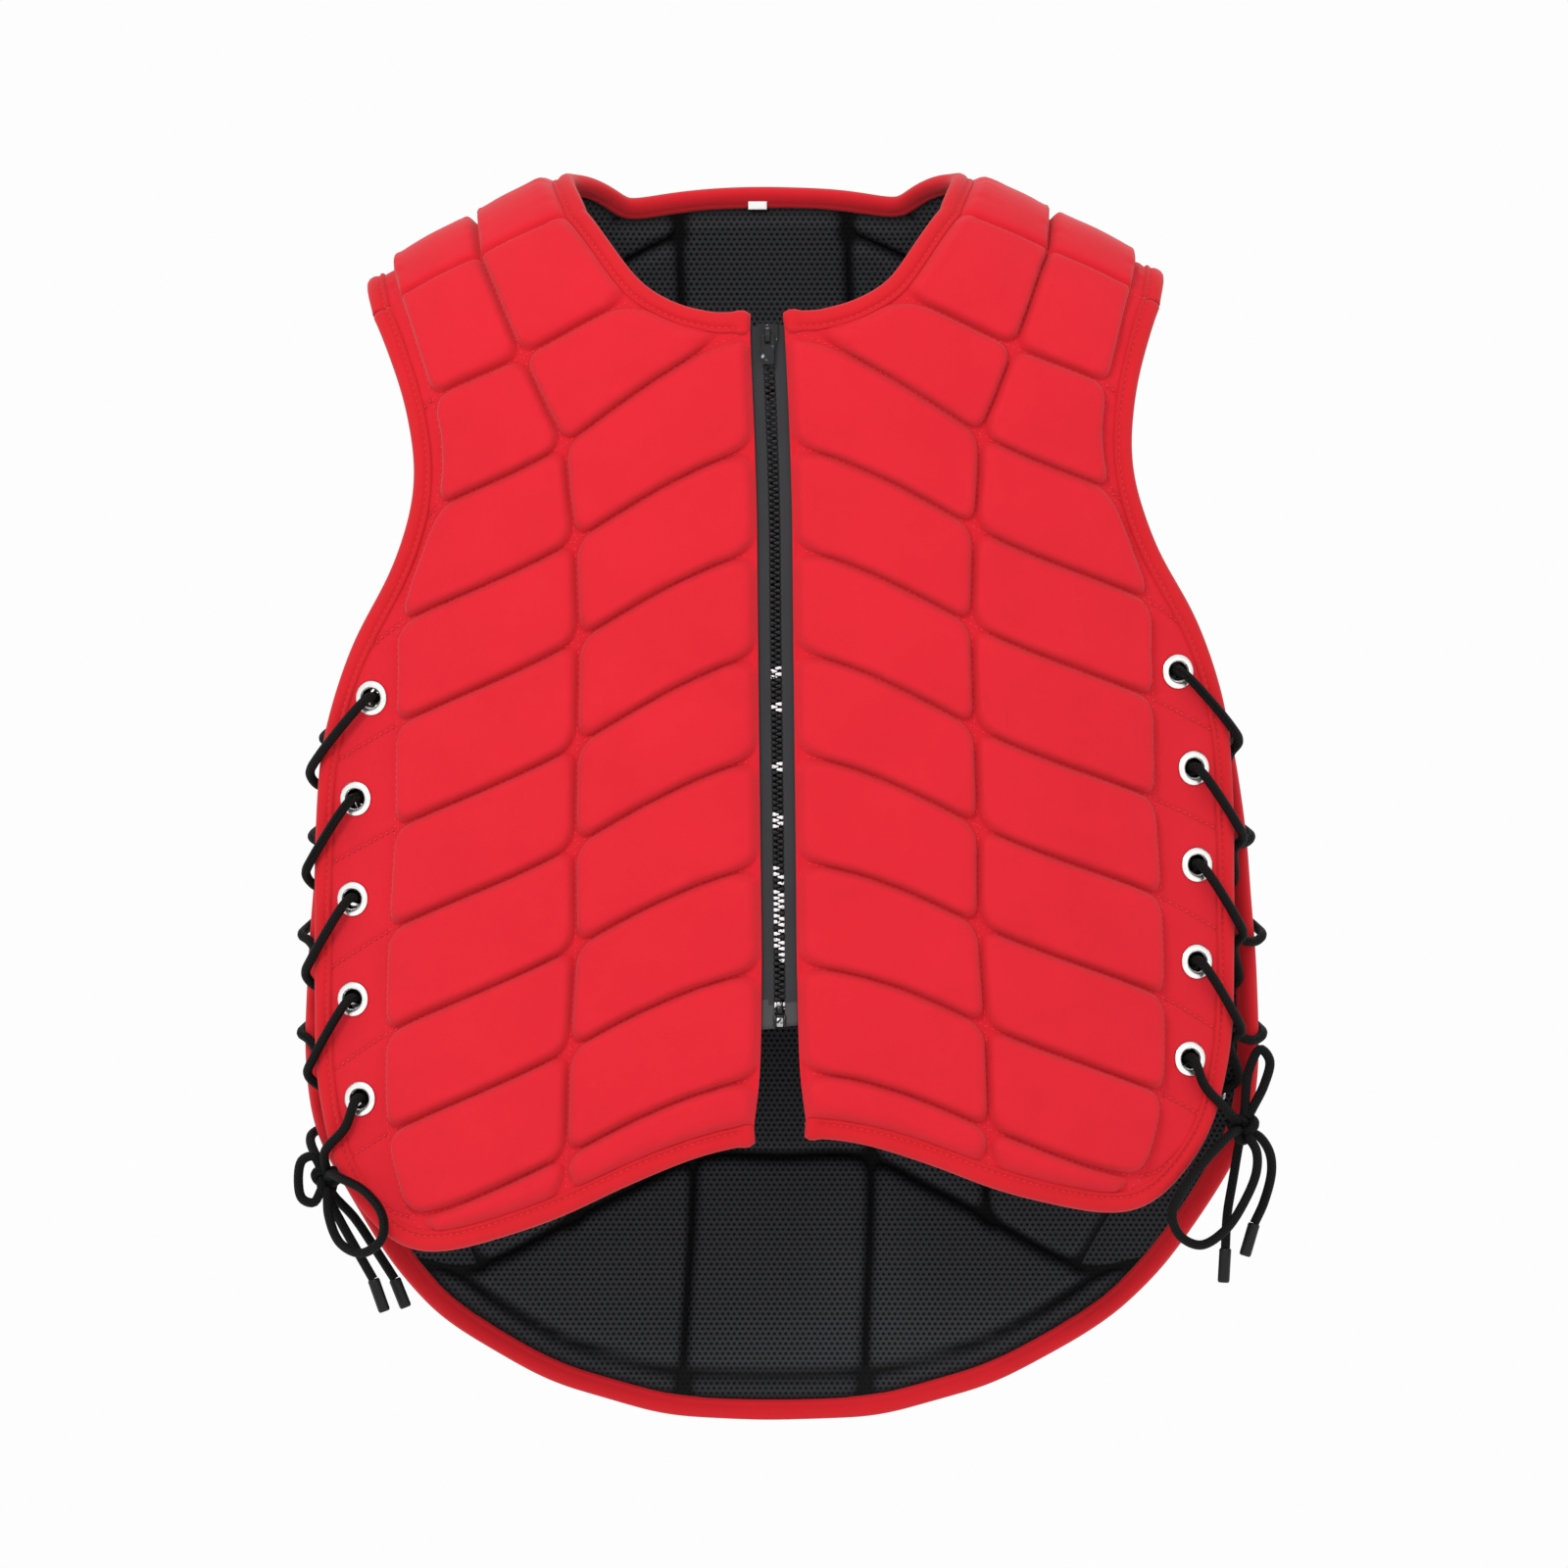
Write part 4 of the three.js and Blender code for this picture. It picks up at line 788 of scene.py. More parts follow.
def back_stops():
    rows = np.full((1 + len(STRAP_ROWS) + len(BACK_ROWS), 11, 2), np.nan)

    def put(row, column, x, z, face):
        rows[row, column] = (x, turn_at(x, z, face) * SHOULDER_ROUND)

    for sign, columns in ((-1, (3, 2, 1, 0)), (1, (7, 8, 9, 10))):
        for column, (out, down) in zip(columns, FRONT_ROWS[0]):
            put(0, column, sign * out * HALF_WIDTH, height_at(down), -1)
        for row, (face, fall, outs) in enumerate(STRAP_ROWS, 1):
            for column, out in zip(columns, outs):
                x = sign * out * HALF_WIDTH
                put(row, column, x, crest_height(x) - fall * SHOULDER_ROUND, face)
        for row, stops in enumerate(BACK_ROWS, NECK_ROW):
            for column, (out, down) in zip((columns[0] - sign, *columns), stops[1:]):
                put(row, column, sign * out * HALF_WIDTH, height_at(down), 1)
            put(row, 5, 0.0, height_at(stops[0]), 1)
    return rows


def surface_lines(stops, row_places, column_places, sharp):
    """Smooth grid of (x, over) between the stops; sharp names rows where a column turns a corner."""
    row_count, column_count = stops.shape[:2]
    lines = np.full((len(row_places), column_count, 2), np.nan)
    for column in range(column_count):
        known = np.flatnonzero(~np.isnan(stops[:, column, 0]))
        cuts = [known[0], *sharp.get(column, ()), row_count - 1]
        for start, end in zip(cuts, cuts[1:]):
            here = (row_places >= start) & (row_places <= end)
            lines[here, column] = spline(stops[start : end + 1, column], row_places[here] - start)
    grid = np.full((len(row_places), len(column_places), 2), np.nan)
    for i in range(len(row_places)):
        known = np.flatnonzero(~np.isnan(lines[i, :, 0]))
        breaks = np.flatnonzero(np.diff(known) > 1)
        for run in np.split(known, breaks + 1):
            here = (column_places >= run[0]) & (column_places <= run[-1])
            grid[i, here] = spline(lines[i, run], column_places[here] - run[0])
    return grid


def smoothed_run(points, spread):
    """A line with its bends eased over about a spread, its ends held."""
    travelled = arc(points)
    from_end = np.minimum(travelled, travelled[-1] - travelled)
    width = np.clip(from_end / 2.5, 0.05, spread)[:, None]
    share = np.gradient(travelled)[None, :]
    weights = np.exp(-((travelled[None, :] - travelled[:, None]) ** 2) / (2 * width**2)) * share
    eased = weights @ points / weights.sum(axis=1, keepdims=True)
    eased[0], eased[-1] = points[0], points[-1]
    return eased


def ease_edges(grid, runs, spread=11.0, reach=34.0):
    """Eases the outline along each run of grid places and carries the cloth beside it along."""
    flat = grid.reshape(-1, 2)
    at = np.concatenate([np.array([i * grid.shape[1] + j for i, j in run]) for run in runs])
    moved = np.concatenate(
        [smoothed_run(np.array([grid[i, j] for i, j in run]), spread) for run in runs]
    )
    shift = moved - flat[at]
    known = np.flatnonzero(~np.isnan(flat[:, 0]))
    eased = flat.copy()
    for part in np.array_split(known, 12):
        distance = np.linalg.norm(flat[part][:, None, :] - flat[at][None, :, :], axis=2)
        nearest = distance.argmin(axis=1)
        hold = np.clip(1 - distance.min(axis=1) / reach, 0, 1) ** 2
        eased[part] = flat[part] + shift[nearest] * hold[:, None]
    eased[at] = moved
    return eased.reshape(grid.shape)


def painted_groove_shade(wall, lift, margin):
    """How much painted shade darkens a lining at each of its points: most in the grooves, none on its flat
    margins; inner layer after outer.
    """
    known = ~np.isnan(wall.point[..., 0])
    flat = np.where(margin, 0.0, (1 - lift) ** 1.3)[known]
    return np.concatenate([flat, flat])


class Wall:
    """A quilted wall as a grid: its places, normals, lengths along and across, and its named lines."""

    def __init__(self, stops, row_shaped, column_shaped, reference_row, reference_column, sharp, face):
        down_lengths = np.linalg.norm(np.diff(stops[:, reference_column], axis=0), axis=1)
        over_lengths = np.linalg.norm(np.diff(stops[reference_row], axis=0), axis=1)
        self.row_places = line_places(down_lengths, row_shaped)
        self.column_places = line_places(over_lengths, column_shaped)
        self.grid = surface_lines(stops, self.row_places, self.column_places, sharp)
        self.rows = [int(np.argmin(abs(self.row_places - r))) for r in range(stops.shape[0])]
        self.columns = [int(np.argmin(abs(self.column_places - c))) for c in range(stops.shape[1])]
        self.face = face

    def finish_shape(self, runs):
        self.grid = ease_edges(self.grid, runs)
        x, turn = self.grid[..., 0], self.grid[..., 1] / SHOULDER_ROUND
        self.point = wall_point(x, turn)
        self.normal = wall_normal(x, turn)
        steps_down = np.linalg.norm(np.diff(self.point, axis=0), axis=2)
        steps_over = np.linalg.norm(np.diff(self.point, axis=1), axis=2)
        self.along = np.vstack([np.zeros((1, x.shape[1])), np.cumsum(np.nan_to_num(steps_down), axis=0)])
        self.across = np.hstack([np.zeros((x.shape[0], 1)), np.cumsum(np.nan_to_num(steps_over), axis=1)])
        down = unit(np.nan_to_num(np.gradient(self.point, axis=0)))
        over = unit(np.nan_to_num(np.gradient(self.point, axis=1)))
        self.squareness = np.clip(np.linalg.norm(np.cross(down, over), axis=2), 0.5, 1.0)

    def from_row(self, row, first, last):
        """Distance from a row's line between two columns."""
        i, a, b = self.rows[row], self.columns[first], self.columns[last]
        down = np.abs(self.along - self.along[i]) * self.squareness
        past = np.maximum(self.across[:, a : a + 1] - self.across, self.across - self.across[:, b : b + 1])
        return np.hypot(down, np.maximum(past, 0))

    def from_column(self, column, first, last):
        j, a, b = self.columns[column], self.rows[first], self.rows[last]
        over = np.abs(self.across - self.across[:, j : j + 1]) * self.squareness
        past = np.maximum(self.along[a : a + 1] - self.along, self.along - self.along[b : b + 1])
        return np.hypot(over, np.maximum(past, 0))

    def from_line(self, places):
        """Distance from a line of grid places, such as an edge."""
        line = np.array([self.point[i, j] for i, j in places])
        flat = self.point.reshape(-1, 3)
        nearest = np.full(len(flat), 1e6)
        for part in np.array_split(np.arange(len(flat)), 16):
            gaps = np.linalg.norm(flat[part][:, None, :] - line[None, :, :], axis=2)
            nearest[part] = np.nan_to_num(gaps.min(axis=1), nan=1e6)
        return nearest.reshape(self.point.shape[:2])

    def flat_map(self):
        """Across and along from the middle column, for both layers of a closed sheet."""
        middle = self.across[:, [self.across.shape[1] // 2]]
        flat = np.stack([self.across - middle, self.along], axis=-1)[~np.isnan(self.point[..., 0])]
        return np.concatenate([flat, flat])

    def offset(self, height):
        return settle(self.point + self.normal * np.asarray(height)[..., None], self.face)


def rounded_corner(first, second, radius):
    """The distance from two lines, its corner rounded so that a block gets soft corners."""
    inside = radius - np.hypot(np.maximum(radius - first, 0), np.maximum(radius - second, 0))
    return np.where((first < radius) & (second < radius), inside, np.minimum(first, second))


def block_profile(distance, width):
    """0 in a groove to 1 on top of a block, as a quarter round."""
    share = np.clip((distance - 0.4) / width, 0, 1)
    return 1 - (1 - share) ** 2.1


def seam_dip(distance):
    """The flush shoulder seam: only its stitching pulls the foam down."""
    return 1 - 0.4 * np.exp(-((distance / 1.5) ** 2))


def puckers(wall, distance, seed, depth):
    """Small pulls in the cloth across the stitched grooves."""
    generator = np.random.default_rng(seed)
    pulls = np.zeros(distance.shape)
    for pitch in (7.0, 11.0, 17.0):
        for values in (wall.along, wall.across):
            start = generator.uniform(0, 2 * math.pi)
            drift = 0.6 * np.sin((wall.along + wall.across) / 37.0 + generator.uniform(0, 6))
            pulls += np.sin(2 * math.pi * values / pitch + start + drift)
    return depth * pulls / 6 * np.exp(-((distance / 7.0) ** 2)) * smoothstep(distance, 0.3, 2.0)


def cut_holes(piece, places):
    """Opens the round holes that the eyelets go through."""
    parts = []
    for place in places:
        normal = place["normal"]
        centre = settle(place["point"], place["face"])
        line = np.stack([centre - normal * 14, centre + normal * 14])
        shape, faces, _ = tube(line, EYELET_BARREL + 0.1, 24)
        parts.append((shape, faces))
    points, faces = joined(parts)
    cutter = bpy.data.objects.new("cutter", bpy.data.meshes.new("cutter"))
    cutter.data.from_pydata((points * MM).tolist(), [], faces)
    bpy.context.scene.collection.objects.link(cutter)
    cut = piece.modifiers.new("eyelet_holes", "BOOLEAN")
    cut.operation, cut.object, cut.solver = "DIFFERENCE", cutter, "EXACT"
    bpy.context.view_layer.update()
    opened = bpy.data.meshes.new_from_object(piece.evaluated_get(bpy.context.evaluated_depsgraph_get()))
    piece.modifiers.clear()
    piece.data = opened
    bpy.data.objects.remove(cutter)


# Binding and stitches
# The folded tape's section, (out, up) from the wall's edge: a ridge, the sewn crease and the round fold
BINDING_SECTION = [
    (-1.3, 2.3), (-1.0, 3.4), (-0.2, 4.0), (0.6, 3.9), (1.2, 3.2), (1.7, 2.9), (2.2, 3.3), (3.0, 4.0),
    (4.8, 4.4), (6.8, 4.2), (8.6, 3.1), (9.5, 1.4), (9.5, -1.4), (8.6, -3.0), (6.8, -3.9), (4.8, -4.1),
    (2.8, -3.8), (2.0, -3.4), (1.2, -3.6), (0.0, -3.2), (-1.3, -2.2),
]
SECTION_MIDDLE = 4.2
FOLDED_SECTION_TOP = 4.2  # the folded end is plain and stands as high all over
STITCH_LINE = (1.7, 3.05)  # where the thread lies in that section
FOLD_LENGTH = 6.5  # the tape's folded end
FOLD_SWELL = 0.14
FOLD_ROUND = 2.2
THREAD_FACES = ((0, 1, 2), (0, 2, 3), (0, 3, 4), (0, 4, 1), (5, 2, 1), (5, 3, 2), (5, 4, 3), (5, 1, 4))


def edge_frames(points, normals, face, outward_sign):
    tangents = unit(np.gradient(points, axis=0))
    outs = unit(np.cross(tangents, normals)) * outward_sign
    centre = settle(points, face)
    out = settle(points + outs, face) - centre
    up = settle(points + normals, face) - centre
    return centre, out, up


def binding(points, normals, face, outward_sign, folded):
    """Points, faces and uv of a folded tape, and its seam's line with the way up. folded says whether its
    start and its end are turned in, which makes them thick, plain and round."""
    centre, out, up = edge_frames(points, normals, face, outward_sign)
    travelled = arc(points)
    swelling, plainness, rounding = np.ones(len(points)), np.zeros(len(points)), np.ones(len(points))
    for is_folded, distance in zip(folded, (travelled, travelled[-1] - travelled)):
        if is_folded:
            swell = 1 + FOLD_SWELL * (1 - smoothstep(distance, FOLD_LENGTH, FOLD_LENGTH + 0.8))
            plain = 1 - smoothstep(distance, FOLD_LENGTH, FOLD_LENGTH + 0.6)
            rounded = 0.72 + 0.28 * np.sqrt(np.clip(distance / FOLD_ROUND, 0, 1))
            swelling = np.maximum(swelling, swell)
            plainness = np.maximum(plainness, plain)
            rounding = np.minimum(rounding, rounded)
    soft = 0.12 * np.sin(travelled / 9.0) + 0.1 * np.sin(travelled / 23.0 + 1.0)
    lines = []
    for a, b in BINDING_SECTION:
        wide = SECTION_MIDDLE + (a - SECTION_MIDDLE) * swelling * rounding + soft * (a > 5)
        plain_height = FOLDED_SECTION_TOP if b > 0 and -1 < a < 7 else b
        tall = b * (1 - plainness) + plainness * plain_height
        lines.append(centre + out * wide[:, None] + up * (tall * swelling * rounding)[:, None])
    rings = np.stack(lines, axis=1)
    count, sides = rings.shape[:2]
    uv = np.stack([np.tile(arc(np.array(BINDING_SECTION)), count), np.repeat(travelled, sides)], axis=1)
    seam = centre + out * STITCH_LINE[0] + up * STITCH_LINE[1]
    return rings.reshape(-1, 3), ring_faces(count, sides), uv, (seam, up)


def stitches(lines, pitch=3.6, length=2.6, width=1.0, height=0.6):
    """Short thread bumps along each (points, normals) line."""
    parts = []
    for points, normals in lines:
        travelled = arc(points)
        places = np.arange(pitch / 2, travelled[-1], pitch)

        def on_line(values, at):
            return np.stack([np.interp(at, travelled, values[:, k]) for k in range(3)], axis=1)

        up = unit(on_line(normals, places))
        along = unit(on_line(points, places + 0.5) - on_line(points, places - 0.5))
        side = np.cross(along, up)
        corners = np.stack([
            along * length / 2 - up * height * 0.5, side * width / 2, up * height, -side * width / 2,
            -up * height, -along * length / 2 - up * height * 0.5,
        ])
        for k, centre in enumerate(on_line(points, places)):
            parts.append((centre + corners[:, k], THREAD_FACES))
    return joined(parts)


def row_run(wall, row, first, last):
    i = wall.rows[row]
    a, b = wall.columns[first], wall.columns[last]
    step = 1 if b >= a else -1
    return [(i, j) for j in range(a, b + step, step)]


def column_run(wall, column, first, last):
    j = wall.columns[column]
    a, b = wall.rows[first], wall.rows[last]
    step = 1 if b >= a else -1
    return [(i, j) for i in range(a, b + step, step)]


def chain_of(*runs):
    """Runs joined end to end, each shared corner once."""
    whole = list(runs[0])
    for run in runs[1:]:
        whole += run[1:] if run[0] == whole[-1] else run
    return whole


def on_wall(wall, run, pitch):
    """Even points and normals along a run of grid places."""
    places = even(np.array([wall.grid[i, j] for i, j in run]), pitch)
    turn = places[:, 1] / SHOULDER_ROUND
    return wall_point(places[:, 0], turn), wall_normal(places[:, 0], turn)


# Each groove is a row or column of stops, then the first and last column or row that it runs to.
GROOVE_WIDTH = 3.8  # from a groove's bottom to the top of the foam
EDGE_WIDTH = 7.0
LINING_GROOVE_WIDTH = 6.0
CORNER_ROUND = 9.0
CROWN_WIDTH = 16.0
PUCKER_DEPTH = 1.1
SEWN_PITCH = 3.0


def quilted(wall, grooves, edge, margin, seed):
    """Of each place: how high the foam lifts it, the block's crown and the cloth's ripple, and its distance
    from the nearest groove. margin marks the flat cloth beside the laces."""
    rows = np.min([wall.from_row(*groove) for groove in grooves["rows"]], axis=0)
    columns = np.min([wall.from_column(*groove) for groove in grooves["columns"]], axis=0)
    near = rounded_corner(rows, columns, CORNER_ROUND)
    near = rounded_corner(near, wall.from_line(edge) * GROOVE_WIDTH / EDGE_WIDTH, CORNER_ROUND)
    seam = seam_dip(wall.from_row(0, 0, len(wall.columns) - 1))
    lift = np.where(margin, 0.0, block_profile(near, GROOVE_WIDTH) * seam)
    crown = np.where(margin, 0.0, 1.0 - np.exp(-((near / CROWN_WIDTH) ** 2)))
    return lift, crown, puckers(wall, near, seed, PUCKER_DEPTH), near


def add_panel_and_lining(wall, part, suffix, height, depth, painted_lining_shade, eyelets):
    """The quilted cloth in front of a wall and the mesh behind it, open where the eyelets go through."""
    gap = np.full(height.shape, GAP / 2)
    sheet = closed_sheet(wall.offset(height), wall.offset(gap))
    panel = make_piece(f"quilted_{part}{suffix}", *sheet, RED_CLOTH, wall.flat_map(), slot="red_cloth")
    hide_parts(f"{part}_panel{suffix}")
    sheet = closed_sheet(wall.offset(-gap), wall.offset(-depth))
    lining = make_piece(f"mesh_{part}{suffix}", *sheet, AIR_MESH, slot="black_mesh", painted_shade=painted_lining_shade)
    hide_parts(f"{part}_lining{suffix}")
    cut_holes(panel, eyelets)
    cut_holes(lining, eyelets)


def add_binding(name, node, points, normals, face, outward_sign, folded=(False, False)):
    """A folded tape along an edge. Returns the line of its seam with the way up at each point."""
    shape, faces, uv, seam = binding(points, normals, face, outward_sign, folded)
    piece = make_piece(name, shape, turned_out(shape, faces), RED_TAPE, uv, slot="red_tape")
    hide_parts(node)
    return seam


def sewn_lines(wall, grooves, skipped=0):
    """The sewing at the bottom of a wall's grooves, without each row's first few places."""
    sunk = wall.offset(np.full(wall.squareness.shape, SHELL_TOP + 0.1))
    lines = []
    for row, first, last in grooves["rows"]:
        i, a, b = wall.rows[row], wall.columns[first] + skipped, wall.columns[last] + 1
        lines.append((sunk[i, a:b], wall.normal[i, a:b]))
    for column, first, last in grooves["columns"]:
        j, a, b = wall.columns[column], wall.rows[first], wall.rows[last] + 1
        lines.append((sunk[a:b, j], wall.normal[a:b, j]))
    return lines


# Fronts
HEM = len(FRONT_ROWS) - 1
FRONT_SIDE = 3  # the column of the laced edge; the cloth is flat beyond column 2
UNDER_BINDING = 5  # grid places of a row that the binding beside the zip covers
front_grooves = {
    "rows": [(row, 0, FRONT_SIDE) for row in FRONT_GROOVES],
    "columns": [(1, 0, HEM), (2, 0, HEM)],
}
front_shaped = [row in (0, *FRONT_GROOVES, HEM) for row in range(len(FRONT_ROWS))]
fronts = {}
for side, sign in (("left", -1), ("right", 1)):
    corners = {0: (ZIP_CORNER_ROW,)}
    wall = Wall(front_stops(sign), front_shaped, [True, True, True, False], 9, 1, corners, -1)
    fronts[side] = wall
    neck_run = column_run(wall, 0, 0, ZIP_CORNER_ROW)
    zip_run = column_run(wall, 0, ZIP_CORNER_ROW, HEM)
    hem_run = row_run(wall, HEM, 0, FRONT_SIDE)
    outline = chain_of(hem_run, column_run(wall, FRONT_SIDE, HEM, 0))
    wall.finish_shape([neck_run, outline])
    margin = wall.column_places > 2.0
    edge = chain_of(neck_run, zip_run, hem_run)
    lift, crown, ripple, near = quilted(wall, front_grooves, edge, margin, 11 + sign)
    # The rows' sewing runs on through the flat margin, and the cloth turns over in a lip beside the zip.
    rows_distance = np.min([wall.from_row(*groove) for groove in front_grooves["rows"]], axis=0)
    margin_dent = np.where(margin, -0.7 * np.exp(-((rows_distance / 1.6) ** 2)), 0.0)
    zip_lip = 0.9 * np.exp(-(((wall.from_line(zip_run) - 0.8) / 0.8) ** 2))
    foam = BLOCK_RISE * lift + crown + ripple * np.where(margin, 0.4, 1.0)
    height = SHELL_TOP + foam + margin_dent + zip_lip
    eyelets = [eyelet_place(-1, sign, index) for index in range(EYELET_COUNT)]
    # Painted shade for the front's mesh: darkest in the grooves, none on the flat margin.
    painted_lining_shade = painted_groove_shade(wall, lift, margin)
    add_panel_and_lining(
        wall, "front", f"_{side}", height, LINING_TOP + FRONT_LINING_RISE * lift, painted_lining_shade, eyelets
    )
    places = on_wall(wall, outline[::-1], SEWN_PITCH)
    seam = add_binding(f"bound_front_{side}", f"front_binding_{side}", *places, -1, -sign, (False, True))
    shoulder_seam = (wall.offset(height + 0.1)[1, 1:], wall.normal[1, 1:])
    points, faces = stitches([seam, shoulder_seam, *sewn_lines(wall, front_grooves, UNDER_BINDING)])
    make_piece(f"stitches_front_{side}", points, faces, RED_THREAD, slot="red_tape")

# Back
TAIL_SEAM_INSET = 13.0  # the seam round the tail, from its edge
BACK_SIDE = 10  # the last column; the cloth is flat before column 1 and beyond column 9
TAIL_ROW = 12  # where the flat cloth beside the laces ends
LAST_BACK = NECK_ROW + len(BACK_ROWS) - 1
back_grooves = {
    "rows": [
        (5, 0, LEFT_SPINE), (5, RIGHT_SPINE, BACK_SIDE),
        *[(row, 0, BACK_SIDE) for row in (6, 8, 9, 10, TAIL_ROW)],
    ],
    "columns": [
        (LEFT_SPINE, NECK_ROW, LAST_BACK), (RIGHT_SPINE, NECK_ROW, LAST_BACK),
        *[(column, 0, TAIL_ROW) for column in (1, 2, 8, 9)],
    ],
}
shaped_rows = [row in (0, 4, 5, 6, 8, 9, 10, TAIL_ROW, LAST_BACK) for row in range(LAST_BACK + 1)]
shaped_columns = [column not in (0, 5, BACK_SIDE) for column in range(BACK_SIDE + 1)]
back = Wall(back_stops(), shaped_rows, shaped_columns, 9, 2, {}, 1)
neck_edge = chain_of(
    column_run(back, LEFT_STRAP, 0, NECK_ROW),
    row_run(back, NECK_ROW, LEFT_STRAP, RIGHT_STRAP),
    column_run(back, RIGHT_STRAP, NECK_ROW, 0),
)
tail_edge = row_run(back, LAST_BACK, 0, BACK_SIDE)
back_outline = chain_of(
    column_run(back, 0, 0, LAST_BACK), tail_edge, column_run(back, BACK_SIDE, LAST_BACK, 0)
)
back.finish_shape([neck_edge, back_outline])
tail_outline = chain_of(
    column_run(back, 0, TAIL_ROW, LAST_BACK), tail_edge, column_run(back, BACK_SIDE, LAST_BACK, TAIL_ROW)
)
beside_laces = (back.column_places < 1.0) | (back.column_places > BACK_SIDE - 1.0)
margin = beside_laces & (back.row_places[:, None] < TAIL_ROW)
lift, crown, ripple, near = quilted(back, back_grooves, chain_of(neck_edge, tail_outline), margin, 31)
tail_seam = np.abs(back.from_line(tail_outline) - TAIL_SEAM_INSET)
lining_near = rounded_corner(near, tail_seam, CORNER_ROUND)
lining_lift = np.where(margin, 0.0, block_profile(lining_near, LINING_GROOVE_WIDTH))
# The back's mesh gets painted shade in its grooves, the tail seam's among them.
add_panel_and_lining(
    back, "back", "",
    SHELL_TOP + BLOCK_RISE * lift + crown + ripple,
    LINING_TOP + LINING_RISE * lining_lift + 0.8 * crown + 0.6 * ripple,
    painted_groove_shade(back, lining_lift, margin),
    [eyelet_place(1, sign, index) for sign in (-1, 1) for index in range(EYELET_COUNT)],
)
back_seam = add_binding("bound_back", "back_binding", *on_wall(back, back_outline, SEWN_PITCH), 1, -1)

# The neck's binding runs from the zip up the left front, round the back and down the right front.
neck_places = np.concatenate([
    [fronts["left"].grid[i, j] for i, j in column_run(fronts["left"], 0, ZIP_CORNER_ROW, 0)],
    [back.grid[i, j] for i, j in neck_edge][1:-1],
    [fronts["right"].grid[i, j] for i, j in column_run(fronts["right"], 0, 0, ZIP_CORNER_ROW)],
])
neck_line = even(neck_places, SEWN_PITCH)
turn = neck_line[:, 1] / SHOULDER_ROUND
neck_seam = add_binding(
    "bound_neck", "neck_binding", wall_point(neck_line[:, 0], turn), wall_normal(neck_line[:, 0], turn),
    np.where(turn < 0, -1, 1), 1, (True, True),
)
points, faces = stitches([back_seam, neck_seam, *sewn_lines(back, back_grooves)])
make_piece("stitches_back", points, faces, RED_THREAD, slot="red_tape")


# Eyelets
EYELET_SIDES = 40
BORE_STEPS = 2  # the last two steps of the profile are the bore


def eyelet_profile():
    """(radius, height) of the two rims formed in the press and the barrel between them."""
    front = SHELL_TOP + 0.1
    rear = -LINING_TOP - 0.2
    return [
        (EYELET_HOLE + 0.2, rear - 0.7), (EYELET_HOLE + 1.6, rear - 1.0),
        (EYELET_FLANGE - 1.4, rear - 0.5), (EYELET_FLANGE - 1.2, rear),
        (EYELET_BARREL, rear), (EYELET_BARREL, front),
        (EYELET_FLANGE - 0.3, front), (EYELET_FLANGE, front + 0.35), (EYELET_FLANGE - 0.5, front + 0.8),
        (EYELET_HOLE + 2.4, front + 1.5), (EYELET_HOLE + 1.2, front + 1.6),
        (EYELET_HOLE + 0.4, front + 1.2), (EYELET_HOLE, front + 0.4), (EYELET_HOLE, rear),
    ]


def eyelet_shape(place):
    normal = place["normal"]
    centre = settle(place["point"], place["face"])
    first = unit(np.cross(normal, [0.0, 0.0, 1.0]))
    second = np.cross(normal, first)
    angles = np.linspace(0, 2 * math.pi, EYELET_SIDES, endpoint=False)
    ring = np.cos(angles)[:, None] * first + np.sin(angles)[:, None] * second
    profile = eyelet_profile()
    points = np.concatenate([centre + radius * ring + height * normal for radius, height in profile])
    return points, turned_out(points - centre, ring_faces(len(profile), EYELET_SIDES, closed=True))


step_count = len(eyelet_profile())
# The bore's faces take the painted shade, the rest the nickel.
eyelet_materials = [0] * EYELET_SIDES * (step_count - BORE_STEPS) + [1] * EYELET_SIDES * BORE_STEPS
for part, face in (("front", -1), ("back", 1)):
    for side, sign in (("left", -1), ("right", 1)):
        shapes = [eyelet_shape(eyelet_place(face, sign, index)) for index in range(EYELET_COUNT)]
        piece = make_piece(
            f"eyelets_{part}_{side}", *joined(shapes), [NICKEL, PAINTED_BORE_SHADE],
            face_materials=eyelet_materials * EYELET_COUNT, slot="eyelet_metal",
        )
        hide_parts(*[f"eyelet_{part}_{side}_{index + 1}" for index in range(EYELET_COUNT)])

# Label: a short ribbon that bends a little over the neck's binding
LABEL_HALF_SIZE = (4.85, 2.1)
LABEL_HALF_THICK = 0.2
low, high = (np.array(corner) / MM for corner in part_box("neck_label"))
label_centre = (low + high) / 2
u, v = np.meshgrid(np.linspace(-1, 1, 13), np.linspace(-1, 1, 7))
bend = -0.35 * (1 - u**2) - 0.15 * v
sheet = label_centre + np.stack([LABEL_HALF_SIZE[0] * u, bend, LABEL_HALF_SIZE[1] * v], axis=-1)
thickness = np.array([0.0, LABEL_HALF_THICK, 0.0])
points, faces = closed_sheet(sheet - thickness, sheet + thickness)
piece = make_piece("blank_label", points, faces, WHITE_SATIN, slot="white_satin")
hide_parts("neck_label")

# Zip
ZIP_TOP = -35.0
ZIP_LENGTH = 365.5
BOX_LENGTH = 6.8
STOP_LENGTH = 6.5
TAPE_THICK = 1.2
TAPE_EDGES = (2.6, 9.6)  # from the zip's middle
TAPE_RIDGES = ((4.4, 0.7, 0.25), (6.6, 0.4, 0.12))  # woven cords: from the middle, width, height
FILM_TOP = -387.5  # a clear film stiffens the tape's foot below this height
SLIDER_LENGTH = 12.0
TOOTH_PITCH = 1.55
